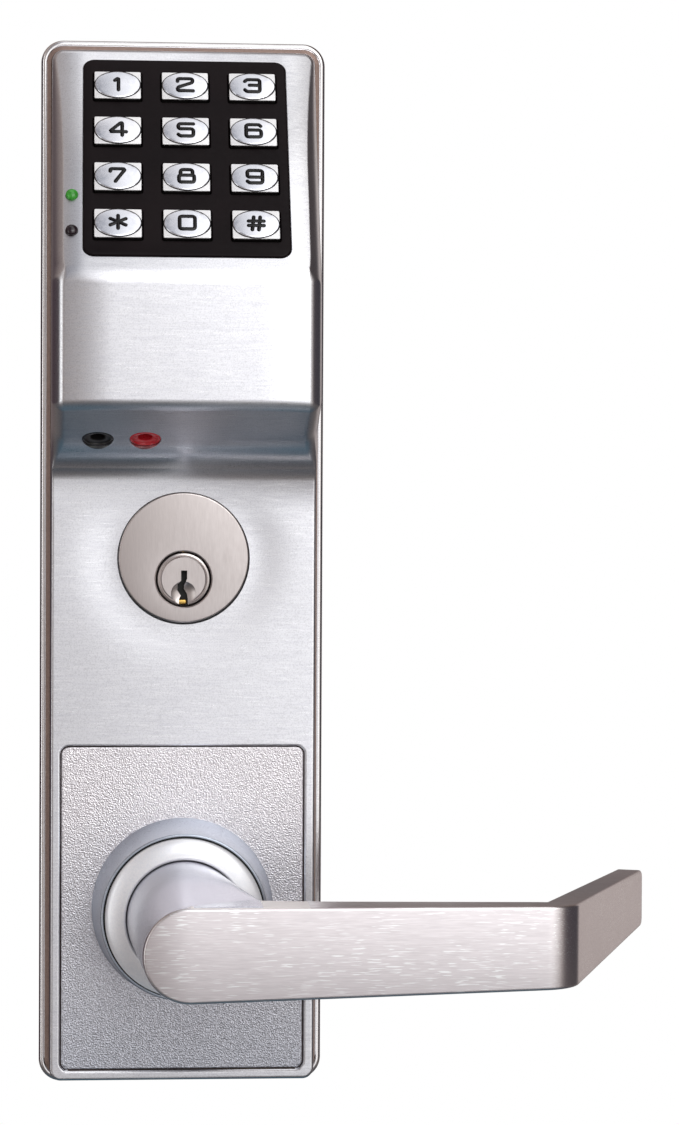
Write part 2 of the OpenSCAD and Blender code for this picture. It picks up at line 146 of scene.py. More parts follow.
def under_to_body(points):
    """(x, up the underside, out of the underside) to (x, d, z), measured from the row of sockets."""
    x, up, out = np.asarray(points, float).reshape(-1, 3).T
    s, c = math.sin(UNDER_A), math.cos(UNDER_A)
    base_d, base_z = HOUSE_D - JACK_T * s, SILL_Z - JACK_T * c
    return np.column_stack((x, base_d + up * s + out * c, base_z + up * c - out * s))


def front_to_body(points):
    """(x, z, d) to (x, d, z)."""
    p = np.asarray(points, float).reshape(-1, 3)
    return p[:, (0, 2, 1)]


def to_world(points):
    p = np.asarray(points, float).reshape(-1, 3)
    return np.column_stack((p[:, 0], -p[:, 1], p[:, 2])) * MM


# ---------------------------------------------------------------- mesh helpers
def new_object(name, points, faces, materials, face_material=None, sharp=32):
    """A closed mesh from (x, d, z) points, outward normals, smooth with sharp creases."""
    mesh = bpy.data.meshes.new(name)
    mesh.from_pydata(to_world(points).tolist(), [], [tuple(int(i) for i in f) for f in faces])
    for material in materials:
        mesh.materials.append(material)
    if face_material is not None:
        mesh.polygons.foreach_set("material_index", np.asarray(face_material, np.int32))
    bm = bmesh.new()
    bm.from_mesh(mesh)
    bmesh.ops.remove_doubles(bm, verts=bm.verts, dist=1e-7)
    bmesh.ops.recalc_face_normals(bm, faces=bm.faces)
    bm.to_mesh(mesh)
    bm.free()
    smooth(mesh, sharp)
    obj = bpy.data.objects.new(name, mesh)
    bpy.context.scene.collection.objects.link(obj)
    return obj


def smooth(mesh, sharp=32):
    mesh.polygons.foreach_set("use_smooth", np.ones(len(mesh.polygons), bool))
    mesh.set_sharp_from_angle(angle=math.radians(sharp))
    mesh.update()


def finish_piece(obj, body, replaced=()):
    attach(obj, body)
    if replaced:
        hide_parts(*replaced)
    return obj


def skin(loops, closed=True, cap_first=False, cap_last=False):
    """Points and quads that join a list of equal loops."""
    count = len(loops[0])
    points = np.concatenate([np.asarray(loop, float) for loop in loops])
    faces = []
    for k in range(len(loops) - 1):
        for i in range(count if closed else count - 1):
            j = (i + 1) % count
            faces.append((k * count + i, k * count + j, (k + 1) * count + j, (k + 1) * count + i))
    if cap_first:
        faces.append(tuple(range(count)))
    if cap_last:
        faces.append(tuple((len(loops) - 1) * count + i for i in range(count)))
    return points, faces


def lathe(profile, steps=128, centre=(0.0, 0.0), closed=True):
    """Turns (radius, d) points about the line x = centre[0], z = centre[1]."""
    loops = []
    for k in range(steps):
        a = 2 * math.pi * k / steps
        loops.append([(centre[0] + r * math.cos(a), d, centre[1] + r * math.sin(a)) for r, d in profile])
    loops.append(loops[0])
    return skin(loops, closed=closed)


def arc(centre, radius, start, stop, steps):
    """Points on an arc, angles in degrees."""
    angles = np.radians(np.linspace(start, stop, steps + 1))
    return [(centre[0] + radius * math.cos(a), centre[1] + radius * math.sin(a)) for a in angles]


def rounded_outline(width, height, radius, steps=8):
    """A rounded rectangle round the origin, counter-clockwise."""
    points = []
    for sx, sy, start in ((1, 1, 0), (-1, 1, 90), (-1, -1, 180), (1, -1, 270)):
        centre = (sx * (width / 2 - radius), sy * (height / 2 - radius))
        points += arc(centre, radius, start, start + 90, steps)
    return points


def cut(obj, cutters):
    """Takes the cutter objects away from obj, then removes them."""
    bpy.context.view_layer.update()
    for cutter in cutters:
        modifier = obj.modifiers.new("cut", "BOOLEAN")
        modifier.operation = "DIFFERENCE"
        modifier.solver = "EXACT"
        modifier.object = cutter
    apply_modifiers(obj)
    for cutter in cutters:
        bpy.data.objects.remove(cutter)


def apply_modifiers(obj):
    depsgraph = bpy.context.evaluated_depsgraph_get()
    depsgraph.update()
    mesh = bpy.data.meshes.new_from_object(obj.evaluated_get(depsgraph))
    old = obj.data
    obj.modifiers.clear()
    obj.data = mesh
    bpy.data.meshes.remove(old)
    return obj


def prism(name, outline, low, high, frame_of, material=None):
    """An extruded outline between two heights of a local frame."""
    loops = [frame_of([(x, y, low) for x, y in outline]), frame_of([(x, y, high) for x, y in outline])]
    points, faces = skin(loops, cap_first=True, cap_last=True)
    return new_object(name, points, faces, [material] if material else [])


def bevelled_prism(name, outline_of, low, high, bevel, frame_of, material, steps=4):
    """An extruded outline with a rounded top edge. outline_of(inset) gives the outline drawn in."""
    levels = [(0.0, low)]
    for k in range(steps + 1):
        a = math.pi / 2 * k / steps
        levels.append((bevel * (1 - math.cos(a)), high - bevel + bevel * math.sin(a)))
    loops = [frame_of([(x, y, level) for x, y in outline_of(inset)]) for inset, level in levels]
    points, faces = skin(loops, cap_first=True, cap_last=True)
    return new_object(name, points, faces, [material])


# ---------------------------------------------------------------- materials
def srgb(r, g, b):
    """A colour given as the eye reads it, in linear light."""
    return tuple(((c + 0.055) / 1.055) ** 2.4 if c > 0.04045 else c / 12.92 for c in (r, g, b)) + (1.0,)


def dimmed(colour, share):
    return tuple(c * share for c in colour[:3]) + (1.0,)


class Nodes:
    """Adds and joins nodes in one node tree."""

    def __init__(self, tree):
        self.tree = tree

    def add(self, kind, **values):
        node = self.tree.nodes.new(kind)
        for key, value in values.items():
            if hasattr(node, key):
                setattr(node, key, value)
            else:
                node.inputs[key.replace("_", " ")].default_value = value
        return node

    def link(self, source, target):
        self.tree.links.new(source, target)

    def feed(self, target, value):
        """Puts a number, a colour or another node's output into a socket."""
        if isinstance(value, bpy.types.NodeSocket):
            self.link(value, target)
        else:
            target.default_value = value

    def math(self, operation, *values):
        node = self.add("ShaderNodeMath", operation=operation)
        for target, value in zip(node.inputs, values):
            self.feed(target, value)
        return node.outputs[0]

    def spread(self, source, low, high, to_low=0.0, to_high=1.0):
        node = self.add("ShaderNodeMapRange")
        for target, value in zip(node.inputs, (source, low, high, to_low, to_high)):
            self.feed(target, value)
        return node.outputs[0]

    def soft(self, source, low, high):
        node = self.add("ShaderNodeMapRange", interpolation_type="SMOOTHSTEP")
        for target, value in zip(node.inputs, (source, low, high, 0.0, 1.0)):
            self.feed(target, value)
        return node.outputs[0]

    def mix(self, factor, a, b):
        node = self.add("ShaderNodeMix", data_type="RGBA")
        self.link(factor, node.inputs["Factor"])
        self.feed(node.inputs[6], a)
        self.feed(node.inputs[7], b)
        return node.outputs[2]

    def ramp(self, source, stops):
        node = self.add("ShaderNodeValToRGB")
        marks = node.color_ramp.elements
        while len(marks) < len(stops):
            marks.new(0.5)
        for mark, (position, colour) in zip(marks, stops):
            mark.position = position
            mark.color = tuple(colour) + (1.0,)
        self.link(source, node.inputs["Fac"])
        return node.outputs["Color"]


class Paint(Nodes):
    """A small builder for one node material."""

    def __init__(self, name):
        self.material = bpy.data.materials.new(name)
        self.material.use_nodes = True
        super().__init__(self.material.node_tree)
        self.shader = next(n for n in self.tree.nodes if n.type == "BSDF_PRINCIPLED")
        self.coords = self.tree.nodes.new("ShaderNodeTexCoord")

    def place(self, scale):
        """Object coordinates, stretched by scale (per metre)."""
        mapping = self.add("ShaderNodeMapping")
        mapping.inputs["Scale"].default_value = scale
        self.link(self.coords.outputs["Object"], mapping.inputs["Vector"])
        return mapping.outputs["Vector"]

    def noise(self, scale, detail=3.0, roughness=0.5, stretch=(1, 1, 1)):
        node = self.add("ShaderNodeTexNoise", Scale=1.0, Detail=detail, Roughness=roughness)
        self.link(self.place(tuple(scale * s for s in stretch)), node.inputs["Vector"])
        return node.outputs["Fac"]

    def total(self, a, b, weight=1.0):
        return self.math("MULTIPLY_ADD", b, weight, a)

    def bump(self, height, strength, distance):
        node = self.add("ShaderNodeBump")
        node.inputs["Strength"].default_value = strength
        node.inputs["Distance"].default_value = distance
        self.link(height, node.inputs["Height"])
        self.link(node.outputs["Normal"], self.shader.inputs["Normal"])

    def set(self, **values):
        for key, value in values.items():
            self.shader.inputs[key.replace("_", " ")].default_value = value


def brushed(name, light, dark, rough, grain, across, bump=0.2, anisotropic=0.0, turned=0.0,
            painted_glints=0.0, smudge=0.25, metallic=1.0, speckle=0.0):
    """Satin plated metal: fine scratches along one axis, faint cloudy smudges, varied roughness, and
    optional painted highlights: short white glints along the scratches.
    """
    paint = Paint(name)
    fine = paint.noise(grain, 2.0, 0.6, across)
    coarse = paint.noise(grain * 0.4, 2.0, 0.5, across)
    cloud = paint.noise(28.0, 3.0, 0.55)
    scratches = paint.total(fine, coarse, 0.5)
    colour = paint.mix(paint.spread(scratches, 0.5, 1.0), dark, light)
    haze = paint.spread(cloud, 0.35, 0.7, 0.0, smudge)
    colour = paint.mix(haze, colour, dimmed(light, 0.88))
    if speckle:
        grit = paint.noise(3400.0, 1.0, 0.5)
        share = paint.spread(grit, 0.30, 0.56, speckle, 0.0)
        colour = paint.mix(share, colour, dimmed(light, 0.55))
    roughness = paint.spread(scratches, 0.5, 1.0, rough + 0.04, rough - 0.04)
    # Painted highlight: short white glints along the scratches, mixed into the colour
    if painted_glints:
        spark = paint.noise(3300.0, 1.0, 0.5, (0.07, 1.0, 1.0))
        patch = paint.noise(80.0, 2.0, 0.5)
        share = paint.spread(patch, 0.38, 0.60, 0.15, painted_glints)
        glint = paint.math("MULTIPLY", paint.spread(spark, 0.60, 0.67), share)
        colour = paint.mix(glint, colour, (1.0, 1.0, 1.0, 1.0))
    paint.link(colour, paint.shader.inputs["Base Color"])
    paint.link(roughness, paint.shader.inputs["Roughness"])
    paint.set(Metallic=metallic)
    if anisotropic:
        paint.set(Anisotropic=anisotropic, Anisotropic_Rotation=turned)
        tangent = paint.add("ShaderNodeTangent", direction_type="RADIAL", axis="Z")
        paint.link(tangent.outputs[0], paint.shader.inputs["Tangent"])
    paint.bump(scratches, bump, 0.00003)
    return paint.material


def stippled(name):
    """Satin plated metal with a fine cast stipple, and painted shade: darker and bluer towards its foot,
    for the shadow under the lever and rose.
    """
    paint = Paint(name)
    grain = paint.noise(2700.0, 1.0, 0.5)
    lumps = paint.noise(1300.0, 1.0, 0.5)
    height = paint.total(grain, lumps, 0.35)
    tone = paint.spread(height, 0.42, 0.88)
    # Painted shade: a lit tone at the top fades into a darker, bluer shaded tone at the foot
    lit_tone = paint.mix(tone, srgb(0.82, 0.80, 0.82), srgb(1.0, 0.99, 1.0))
    shaded_tone = paint.mix(tone, srgb(0.66, 0.67, 0.70), srgb(0.88, 0.89, 0.93))
    split = paint.add("ShaderNodeSeparateXYZ")
    paint.link(paint.coords.outputs["Object"], split.inputs[0])
    lit_share = paint.spread(split.outputs[2], -PANEL_Z * MM, PANEL_Z * 0.6 * MM)
    paint.link(paint.mix(lit_share, shaded_tone, lit_tone), paint.shader.inputs["Base Color"])
    paint.link(paint.spread(grain, 0.3, 0.7, 0.42, 0.32), paint.shader.inputs["Roughness"])
    paint.set(Metallic=1.0)
    paint.bump(height, 0.8, 0.00024)
    return paint.material


def plain_metal(name, light, dark, rough, grain=900.0, bump=0.12, metallic=1.0):
    """Machined or plated metal with a fine even grain and slight stains."""
    paint = Paint(name)
    fine = paint.noise(grain, 3.0, 0.6)
    stain = paint.noise(60.0, 3.0, 0.6)
    colour = paint.mix(paint.spread(stain, 0.35, 0.7), light, dark)
    paint.link(colour, paint.shader.inputs["Base Color"])
    paint.link(paint.spread(fine, 0.3, 0.7, rough - 0.05, rough + 0.08), paint.shader.inputs["Roughness"])
    paint.set(Metallic=metallic)
    paint.bump(fine, bump, 0.00005)
    return paint.material


def moulded(name, light, dark, rough, grain=700.0, bump=0.15, coat=0.0, shine=0.5):
    """Moulded plastic or rubber: faint texture, slight mottling and uneven gloss."""
    paint = Paint(name)
    fine = paint.noise(grain, 3.0, 0.6)
    cloud = paint.noise(45.0, 3.0, 0.6)
    paint.link(paint.mix(paint.spread(cloud, 0.35, 0.7), light, dark), paint.shader.inputs["Base Color"])
    paint.link(paint.spread(fine, 0.3, 0.7, rough - 0.06, rough + 0.08), paint.shader.inputs["Roughness"])
    paint.set(Coat_Weight=coat, Coat_Roughness=0.12, Specular_IOR_Level=shine)
    paint.bump(fine, bump, 0.00008)
    return paint.material


def lens(name, colour, glow, transmission):
    """A tinted clear lens with faint moulding waves and an optional glow."""
    paint = Paint(name)
    waves = paint.noise(900.0, 2.0, 0.5)
    tint = paint.mix(paint.spread(waves, 0.3, 0.7), colour, dimmed(colour, 0.55))
    paint.link(tint, paint.shader.inputs["Base Color"])
    paint.link(paint.spread(waves, 0.3, 0.7, 0.05, 0.12), paint.shader.inputs["Roughness"])
    paint.set(Transmission_Weight=transmission, IOR=1.5, Emission_Strength=glow, Emission_Color=colour)
    paint.bump(waves, 0.5, 0.00008)
    return paint.material


# How far each axis squeezes the grain: scratches run along X, or along Z, or the grain is even
ALONG_X = (0.06, 1.0, 1.0)
ALONG_Z = (1.0, 1.0, 0.12)
EVEN = (1, 1, 1)
FACE = brushed("face_chrome", srgb(0.92, 0.92, 0.93), srgb(0.86, 0.86, 0.88), 0.31, 3600.0, ALONG_X,
               anisotropic=0.75, turned=0.25, speckle=0.38)
RIM = brushed("rim_chrome", srgb(0.94, 0.93, 0.93), srgb(0.86, 0.85, 0.85), 0.2, 3600.0, ALONG_X,
              bump=0.08)
# The rim's inner flat: a darker, browner colour than the face, half metallic
RIM_FLAT_DARK = brushed("rim_flat_dark", srgb(0.60, 0.51, 0.47), srgb(0.52, 0.44, 0.41), 0.42, 2600.0, EVEN,
               bump=0.15, metallic=0.5)
# Painted shade: a dark brown for the fillet where the body meets the rim and for the panel's groove
CREASE_SHADE = brushed("rim_crease_shade", srgb(0.34, 0.30, 0.29), srgb(0.24, 0.21, 0.20), 0.5, 2600.0, EVEN,
                bump=0.15)
PANEL = stippled("panel_stipple")
LEVER_METAL = brushed("lever_chrome", srgb(0.92, 0.895, 0.90), srgb(0.86, 0.835, 0.84), 0.34, 3200.0,
                      ALONG_X, anisotropic=0.6, turned=0.25, painted_glints=1.0)
# Painted highlight: the lever's top edge is paler close to the neck, standing in for light from above
LEVER_TOP_HIGHLIGHT = brushed("lever_top_painted_highlight", srgb(1.0, 0.98, 0.97), srgb(0.95, 0.93, 0.92), 0.40, 3200.0, ALONG_X,
                    metallic=0.1)
# Painted shade and light on copies of one satin chrome: the neck and rose are given darker colours, the
# ring a whiter, half metallic one
NECK_SHADED_METAL = brushed("neck_chrome_shaded", srgb(0.80, 0.80, 0.83), srgb(0.74, 0.74, 0.78), 0.20, 2800.0, EVEN,
                     bump=0.03, smudge=0.0)
ROSE_SHADED_METAL = brushed("rose_chrome_shaded", srgb(0.76, 0.79, 0.83), srgb(0.68, 0.71, 0.76), 0.30, 2800.0, EVEN,
                     bump=0.08)
RING_LIT_METAL = brushed("ring_chrome_lit", srgb(0.99, 0.99, 1.0), srgb(0.94, 0.95, 0.97), 0.34, 2400.0, EVEN,
                     bump=0.15, metallic=0.45)
CYL_METAL = brushed("cylinder_nickel", srgb(0.81, 0.78, 0.77), srgb(0.77, 0.74, 0.73), 0.34, 3000.0,
                    ALONG_Z, bump=0.05)
KEY_METAL = plain_metal("key_cap", srgb(0.99, 0.99, 0.99), srgb(0.95, 0.95, 0.96), 0.34, metallic=0.4)
PAD_METAL = plain_metal("key_pad", srgb(0.90, 0.90, 0.92), srgb(0.83, 0.84, 0.87), 0.24)
LEGEND = moulded("legend_black", srgb(0.045, 0.035, 0.04), srgb(0.02, 0.015, 0.02), 0.20,
                 coat=0.12, shine=0.2)
BEZEL = moulded("bezel_black", srgb(0.080, 0.045, 0.055), srgb(0.045, 0.02, 0.03), 0.42,
                bump=0.3, shine=0.12)
# Painted shade: a flat near-black put in grooves, gaps and the keyway, where only shade falls
SHADE_FILL = moulded("painted_gap_shade", srgb(0.05, 0.05, 0.05), srgb(0.02, 0.02, 0.02), 0.7)
STEEL = plain_metal("zinc_steel", srgb(0.78, 0.79, 0.80), srgb(0.66, 0.67, 0.69), 0.34)
BRASS = plain_metal("brass", srgb(0.88, 0.74, 0.42), srgb(0.76, 0.60, 0.30), 0.28)
RUBBER = moulded("rubber", srgb(0.13, 0.13, 0.13), srgb(0.08, 0.08, 0.08), 0.75)
RED = moulded("red_plastic", srgb(0.78, 0.16, 0.20), srgb(0.66, 0.08, 0.12), 0.30, coat=0.4)
BLACK = moulded("black_plastic", srgb(0.12, 0.11, 0.11), srgb(0.06, 0.05, 0.05), 0.38, coat=0.2)
CREAM = moulded("cream_plastic", srgb(0.90, 0.87, 0.78), srgb(0.82, 0.78, 0.68), 0.45)
BOARD = moulded("solder_mask", srgb(0.12, 0.40, 0.20), srgb(0.07, 0.28, 0.13), 0.35, coat=0.4)
GREEN_LENS = lens("green_lens", srgb(0.27, 0.66, 0.23), 0.08, 0.15)
DARK_LENS = lens("dark_lens", srgb(0.17, 0.12, 0.15), 0.0, 0.1)


# ---------------------------------------------------------------- escutcheon
def round_max(a, b, r):
    """Where two half spaces meet, with a fillet of radius r (signed fields, negative inside)."""
    return np.minimum(-r, np.maximum(a, b)) + np.hypot(np.maximum(a + r, 0), np.maximum(b + r, 0))


def round_min(a, b, r):
    return -round_max(-a, -b, r)


def outline_distance(x, z, half_x, low_z, high_z, r):
    """Distance to a rounded rectangle, negative inside."""
    qx = np.abs(x) - (half_x - r)
    qz = np.abs(z - (low_z + high_z) / 2) - ((high_z - low_z) / 2 - r)
    return np.hypot(np.maximum(qx, 0), np.maximum(qz, 0)) + np.minimum(np.maximum(qx, qz), 0) - r


FACE_EDGE = 0.8
SIDE_EDGE = 5.2
FRONT_EDGE = 4.0
DRAFT = 0.3
CROWN_X = 26.0
CROWN_R = 30.0
FRONT_CROWN_X = 19.0
FRONT_CROWN_R = 130.0
COVE_R = 7.0
COVE_EASE = 0.009
COVE_EASE_Z = 105.5
COVE_EASE_H = 11.0


def edge_radius(z):
    """Radius of the body's front edge along its height."""
    h = np.clip((BODY_TOP - z) / 33.0, 0, 1)
    slope = 1.2 + (SIDE_EDGE - 1.2) * (1 - (1 - h) ** 2)
    at_ridge = np.clip((RIDGE_Z + 3 - z) / 6.0, 0, 1)
    upper = slope + (FRONT_EDGE - SIDE_EDGE) * at_ridge * at_ridge * (3 - 2 * at_ridge)
    at_cove = np.clip((125.0 - z) / 9.0, 0, 1)
    return upper + (FACE_EDGE - upper) * at_cove * at_cove * (3 - 2 * at_cove)


def edge_break(z):
    """How far the edge's curve stands past the face, which leaves a crease where they meet."""
    on_slope = np.clip((z - RIDGE_Z) / 4.0, 0, 1)
    on_front = np.clip((z - 126.0) / 6.0, 0, 1)
    return edge_radius(z) * (0.02 * on_front + 0.075 * on_slope)


def body_field(x, d, z):
    """Signed field of the raised body: negative inside."""
    side = np.abs(x)
    under = (d - HOUSE_D) * math.cos(UNDER_A) - (z - SILL_Z) * math.sin(UNDER_A)
    slope = (d - HOUSE_D) * math.cos(SLOPE_A) + (z - RIDGE_Z) * math.sin(SLOPE_A)
    slope = slope + np.maximum(side - CROWN_X, 0) ** 2 / (2 * CROWN_R)
    front = d - HOUSE_D + np.maximum(side - FRONT_CROWN_X, 0) ** 2 / (2 * FRONT_CROWN_R)
    house = round_max(front, under, 2.0)
    middle = d - MID_D - COVE_EASE * np.clip(z - COVE_EASE_Z, 0, COVE_EASE_H) ** 2
    core = round_min(house, middle, COVE_R)
    core = round_max(core, slope, 1.2)
    narrowed = DRAFT * np.clip((d - MID_D) / (HOUSE_D - MID_D), 0, 1)
    rim = outline_distance(x, z, BODY_X, BODY_BOTTOM, BODY_TOP, BODY_R) + narrowed
    return np.maximum(core, round_max(core - edge_break(z), rim, edge_radius(z)))


def front_depth(x, z, inset=0.0):
    """Distance of the body's front from the door, by bisection."""
    low = np.full(np.shape(x), 0.0)
    high = np.full(np.shape(x), HOUSE_D + 5.0)
    for _ in range(30):
        middle = (low + high) / 2
        inside = body_field(x, middle, z) < -inset
        low = np.where(inside, middle, low)
        high = np.where(inside, high, middle)
    return (low + high) / 2


def panel_relief(x, z):
    """Depth of the stippled panel, of the groove round it and of the shallow dish round the cylinder."""
    q = outline_distance(x, z, PANEL_X, -PANEL_Z, PANEL_Z, PANEL_R)
    sunk = np.clip((0.25 - q) / 0.5, 0, 1)
    groove = np.exp(-((q / 0.24) ** 2))
    around = np.hypot(x, z - CYL_Z) - CYL_R - 1.5
    dish = DISH_DEEP * np.exp(-((around / 7.0) ** 2)) * np.clip((110.0 - z) / 10.0, 0, 1)
    return -PANEL_DEEP * 0.5 * sunk * sunk * (3 - 2 * sunk) - 0.6 * groove - dish


def spaced(stops):
    """Numbers from a list of (end, step) stretches, starting at the first end."""
    values = [stops[0][0]]
    for end, step in stops[1:]:
        count = max(1, round((end - values[-1]) / step))
        values += list(np.linspace(values[-1], end, count + 1)[1:])
    return np.array(values)


def edge_steps():
    """Distances from the outline: close together where the edge curves over."""
    curve = [0.55 * (1 - math.cos(a)) for a in np.linspace(0, math.pi / 2, 9)]
    return curve + list(spaced([(0.55, 0), (2.2, 0.16), (3.7, 0.18), (5.2, 0.3), (8.0, 0.9)])[1:])


def front_grid():
    """Rows of (x, z) over the body's outline. Row ends lie on the outline."""
    edge = np.array(edge_steps())
    middle = np.linspace(edge[-1], BODY_X, 24)[1:]
    inset = np.concatenate((edge, middle))
    share = 1 - inset / BODY_X
    u = np.concatenate((-share, share[::-1][1:]))
    corner = [BODY_R * (1 - math.cos(a)) for a in np.linspace(0, math.pi / 2, 13)]
    low = BODY_BOTTOM + np.array(corner)
    high = BODY_TOP - np.array(corner)[::-1]
    # Close rows at the panel's groove, the cove, the sill and the ridge
    inner = spaced([
        (low[-1], 0), (-PANEL_Z + 0.9, 0.12), (-PANEL_Z + 3.4, 0.25), (PANEL_Z - 3.4, 2.4),
        (PANEL_Z - 0.9, 0.25), (PANEL_Z + 1.2, 0.12), (110, 2.4), (131, 0.25), (135, 0.1),
        (138, 0.4), (163, 2.5), (169, 0.25), (high[0], 1.5),
    ])
    rows = np.concatenate((low, inner[1:], high[1:]))
    return u, rows


def half_width(z):
    """Half of the body's width at a height, with its round corners."""
    over = np.maximum(np.maximum(BODY_BOTTOM + BODY_R - z, z - (BODY_TOP - BODY_R)), 0)
    return BODY_X - BODY_R + np.sqrt(np.maximum(BODY_R ** 2 - over ** 2, 0))


def outline_normal(x, z):
    """Outward direction of the body's outline at a point on it."""
    cx = np.clip(x, -(BODY_X - BODY_R), BODY_X - BODY_R)
    cz = np.clip(z, BODY_BOTTOM + BODY_R, BODY_TOP - BODY_R)
    nx, nz = x - cx, z - cz
    size = np.maximum(np.hypot(nx, nz), 1e-9)
    return nx / size, nz / size


def grid_loop(rows, columns):
    """Indices of a grid's border, in order."""
    bottom = list(range(columns))
    right = [r * columns + columns - 1 for r in range(1, rows)]
    top = [(rows - 1) * columns + c for c in range(columns - 2, -1, -1)]
    left = [r * columns for r in range(rows - 2, 0, -1)]
    return bottom + right + top + left


def rim_profile():
    """(offset from the body's outline, distance from the door) down the wall and over the rim."""
    fillet = [(0.5 - 0.5 * math.cos(a), RIM_T + 0.5 - 0.5 * math.sin(a))
              for a in np.linspace(0, math.pi / 2, 5)]
    crest = 1.05
    over = [(RIM_W - crest + crest * math.sin(a), RIM_T - 0.2 - crest + crest * math.cos(a))
            for a in np.linspace(-0.5, math.pi / 2, 10)]
    return fillet + [(1.4, RIM_T - 0.36)] + over + [(RIM_W, 0.3), (RIM_W - 0.3, 0.0)]


# Places of the casting's finishes and its painted crease shade in its list of materials
FACE_TAG, PANEL_TAG, RIM_TAG, RIM_FLAT_DARK_TAG, CREASE_SHADE_TAG = range(5)


def build_escutcheon():
    u, heights = front_grid()
    columns, rows = len(u), len(heights)
    zs = np.repeat(heights, columns)
    xs = np.tile(u, rows) * half_width(zs)
    depth = front_depth(xs, zs) + panel_relief(xs, zs)
    points = [np.column_stack((xs, depth, zs))]
    faces, tags = [], []
    for r in range(rows - 1):
        for c in range(columns - 1):
            i = r * columns + c
            faces.append((i, i + 1, i + columns + 1, i + columns))
            x, z = (xs[i] + xs[i + columns + 1]) / 2, (zs[i] + zs[i + columns + 1]) / 2
            q = outline_distance(x, z, PANEL_X, -PANEL_Z, PANEL_Z, PANEL_R)
            # Painted shade: the panel's groove takes the dark crease colour
            tags.append(PANEL_TAG if q < -0.24 else CREASE_SHADE_TAG if q < 0.02 else FACE_TAG)
    border = grid_loop(rows, columns)
    bx, bz = xs[border], zs[border]
    nx, nz = outline_normal(bx, bz)
    previous = border
    start = rows * columns
    for offset, d in rim_profile():
        loop = np.column_stack((bx + nx * offset, np.full(len(bx), d), bz + nz * offset))
        points.append(loop)
        current = list(range(start, start + len(border)))
        for k in range(len(border)):
            j = (k + 1) % len(border)
            faces.append((previous[k], previous[j], current[j], current[k]))
            # Painted shade: the fillet at the wall's foot takes the dark crease colour
            tags.append(CREASE_SHADE_TAG if offset < 0.45 else RIM_FLAT_DARK_TAG if offset < 1.5 else RIM_TAG)
        previous = current
        start += len(border)
    # The cavity: the same grid drawn in by the wall, with its mouth on the door's face
    inner_x = BODY_X - WALL
    shrink_x = inner_x / BODY_X
    middle_z = (BODY_TOP + BODY_BOTTOM) / 2
    shrink_z = 1 - 2 * WALL / (BODY_TOP - BODY_BOTTOM)
    ix, iz = xs * shrink_x, middle_z + (zs - middle_z) * shrink_z
    inner_depth = np.clip(front_depth(ix, iz, WALL), 2.0, None)
    points.append(np.column_stack((ix, inner_depth, iz)))
    for r in range(rows - 1):
        for c in range(columns - 1):
            i = start + r * columns + c
            faces.append((i, i + columns, i + columns + 1, i + 1))
            tags.append(FACE_TAG)
    inner_border = [start + i for i in border]
    start += rows * columns
    mouth = np.column_stack((ix[border], np.zeros(len(border)), iz[border]))
    points.append(mouth)
    current = list(range(start, start + len(border)))
    for k in range(len(border)):
        j = (k + 1) % len(border)
        faces.append((inner_border[k], inner_border[j], current[j], current[k]))
        faces.append((previous[k], previous[j], current[j], current[k]))
        tags += [FACE_TAG, RIM_TAG]
    finishes = [FACE, PANEL, RIM, RIM_FLAT_DARK, CREASE_SHADE]
    obj = new_object("escutcheon_casting", np.concatenate(points), faces, finishes, tags, sharp=40)
    cut(obj, escutcheon_cutters())
    smooth(obj.data, 40)
    return finish_piece(obj, "base", ["escutcheon"])


def escutcheon_cutters():
    circle = lambda r: arc((0, 0), r, 0, 360, 96)[:-1]
    at = lambda outline, x, y: [(x + px, y + py) for px, py in outline]
    cutters = [
        prism("cut_cylinder", at(circle(CYL_R + 0.3), 0, CYL_Z - 0.2), 14, 30, front_to_body),
        prism("cut_lever", circle(LEVER_HOLE_R), 14, 30, front_to_body),
        prism("cut_bezel", rounded_outline(BEZEL_W + 0.3, BEZEL_H + 0.3, 3.1), -1.2, 6, slope_to_body),
        prism("cut_window", rounded_outline(WINDOW_W, WINDOW_H, 2), -6, 6, slope_to_body),
    ]
    for y in LIGHT_ROWS.values():
        cutters.append(prism("cut_led", at(circle(LIGHT_R + 0.1), LIGHT_X, y), -6, 6, slope_to_body))
    for x in JACK_X.values():
        cutters.append(prism("cut_jack", at(circle(JACK_HOLE_R), x, 0), -8, 6, under_to_body))
    return cutters


# ---------------------------------------------------------------- keypad
def build_bezel():
    bevel = 0.5
    outline_of = lambda inset: rounded_outline(BEZEL_W - 2 * inset, BEZEL_H - 2 * inset, 3.0 - inset, 10)
    obj = bevelled_prism("bezel", outline_of, -1.0, BEZEL_TOP, bevel, slope_to_body, BEZEL)
    cutters = []
    for column in KEY_COLUMNS:
        for row in KEY_ROWS:
            # Each window flares a little at the front, which leaves a soft lip
            loops = []
            for grow, level in ((0.0, -3), (0.0, BEZEL_TOP - 0.3), (0.3, BEZEL_TOP + 0.02), (0.3, 3)):
                outline = rounded_outline(KEY_W + 0.5 + 2 * grow, KEY_H + 0.5 + 2 * grow, 0.4 + grow, 4)
                shifted = [(column * PITCH_X + x, row * PITCH_Y + y, level) for x, y in outline]
                loops.append(slope_to_body(shifted))
            points, faces = skin(loops, cap_first=True, cap_last=True)
            cutters.append(new_object("cut_key", points, faces, []))
    cut(obj, cutters)
    smooth(obj.data, 30)
    finish_piece(obj, "base", ["keypad_bezel"])


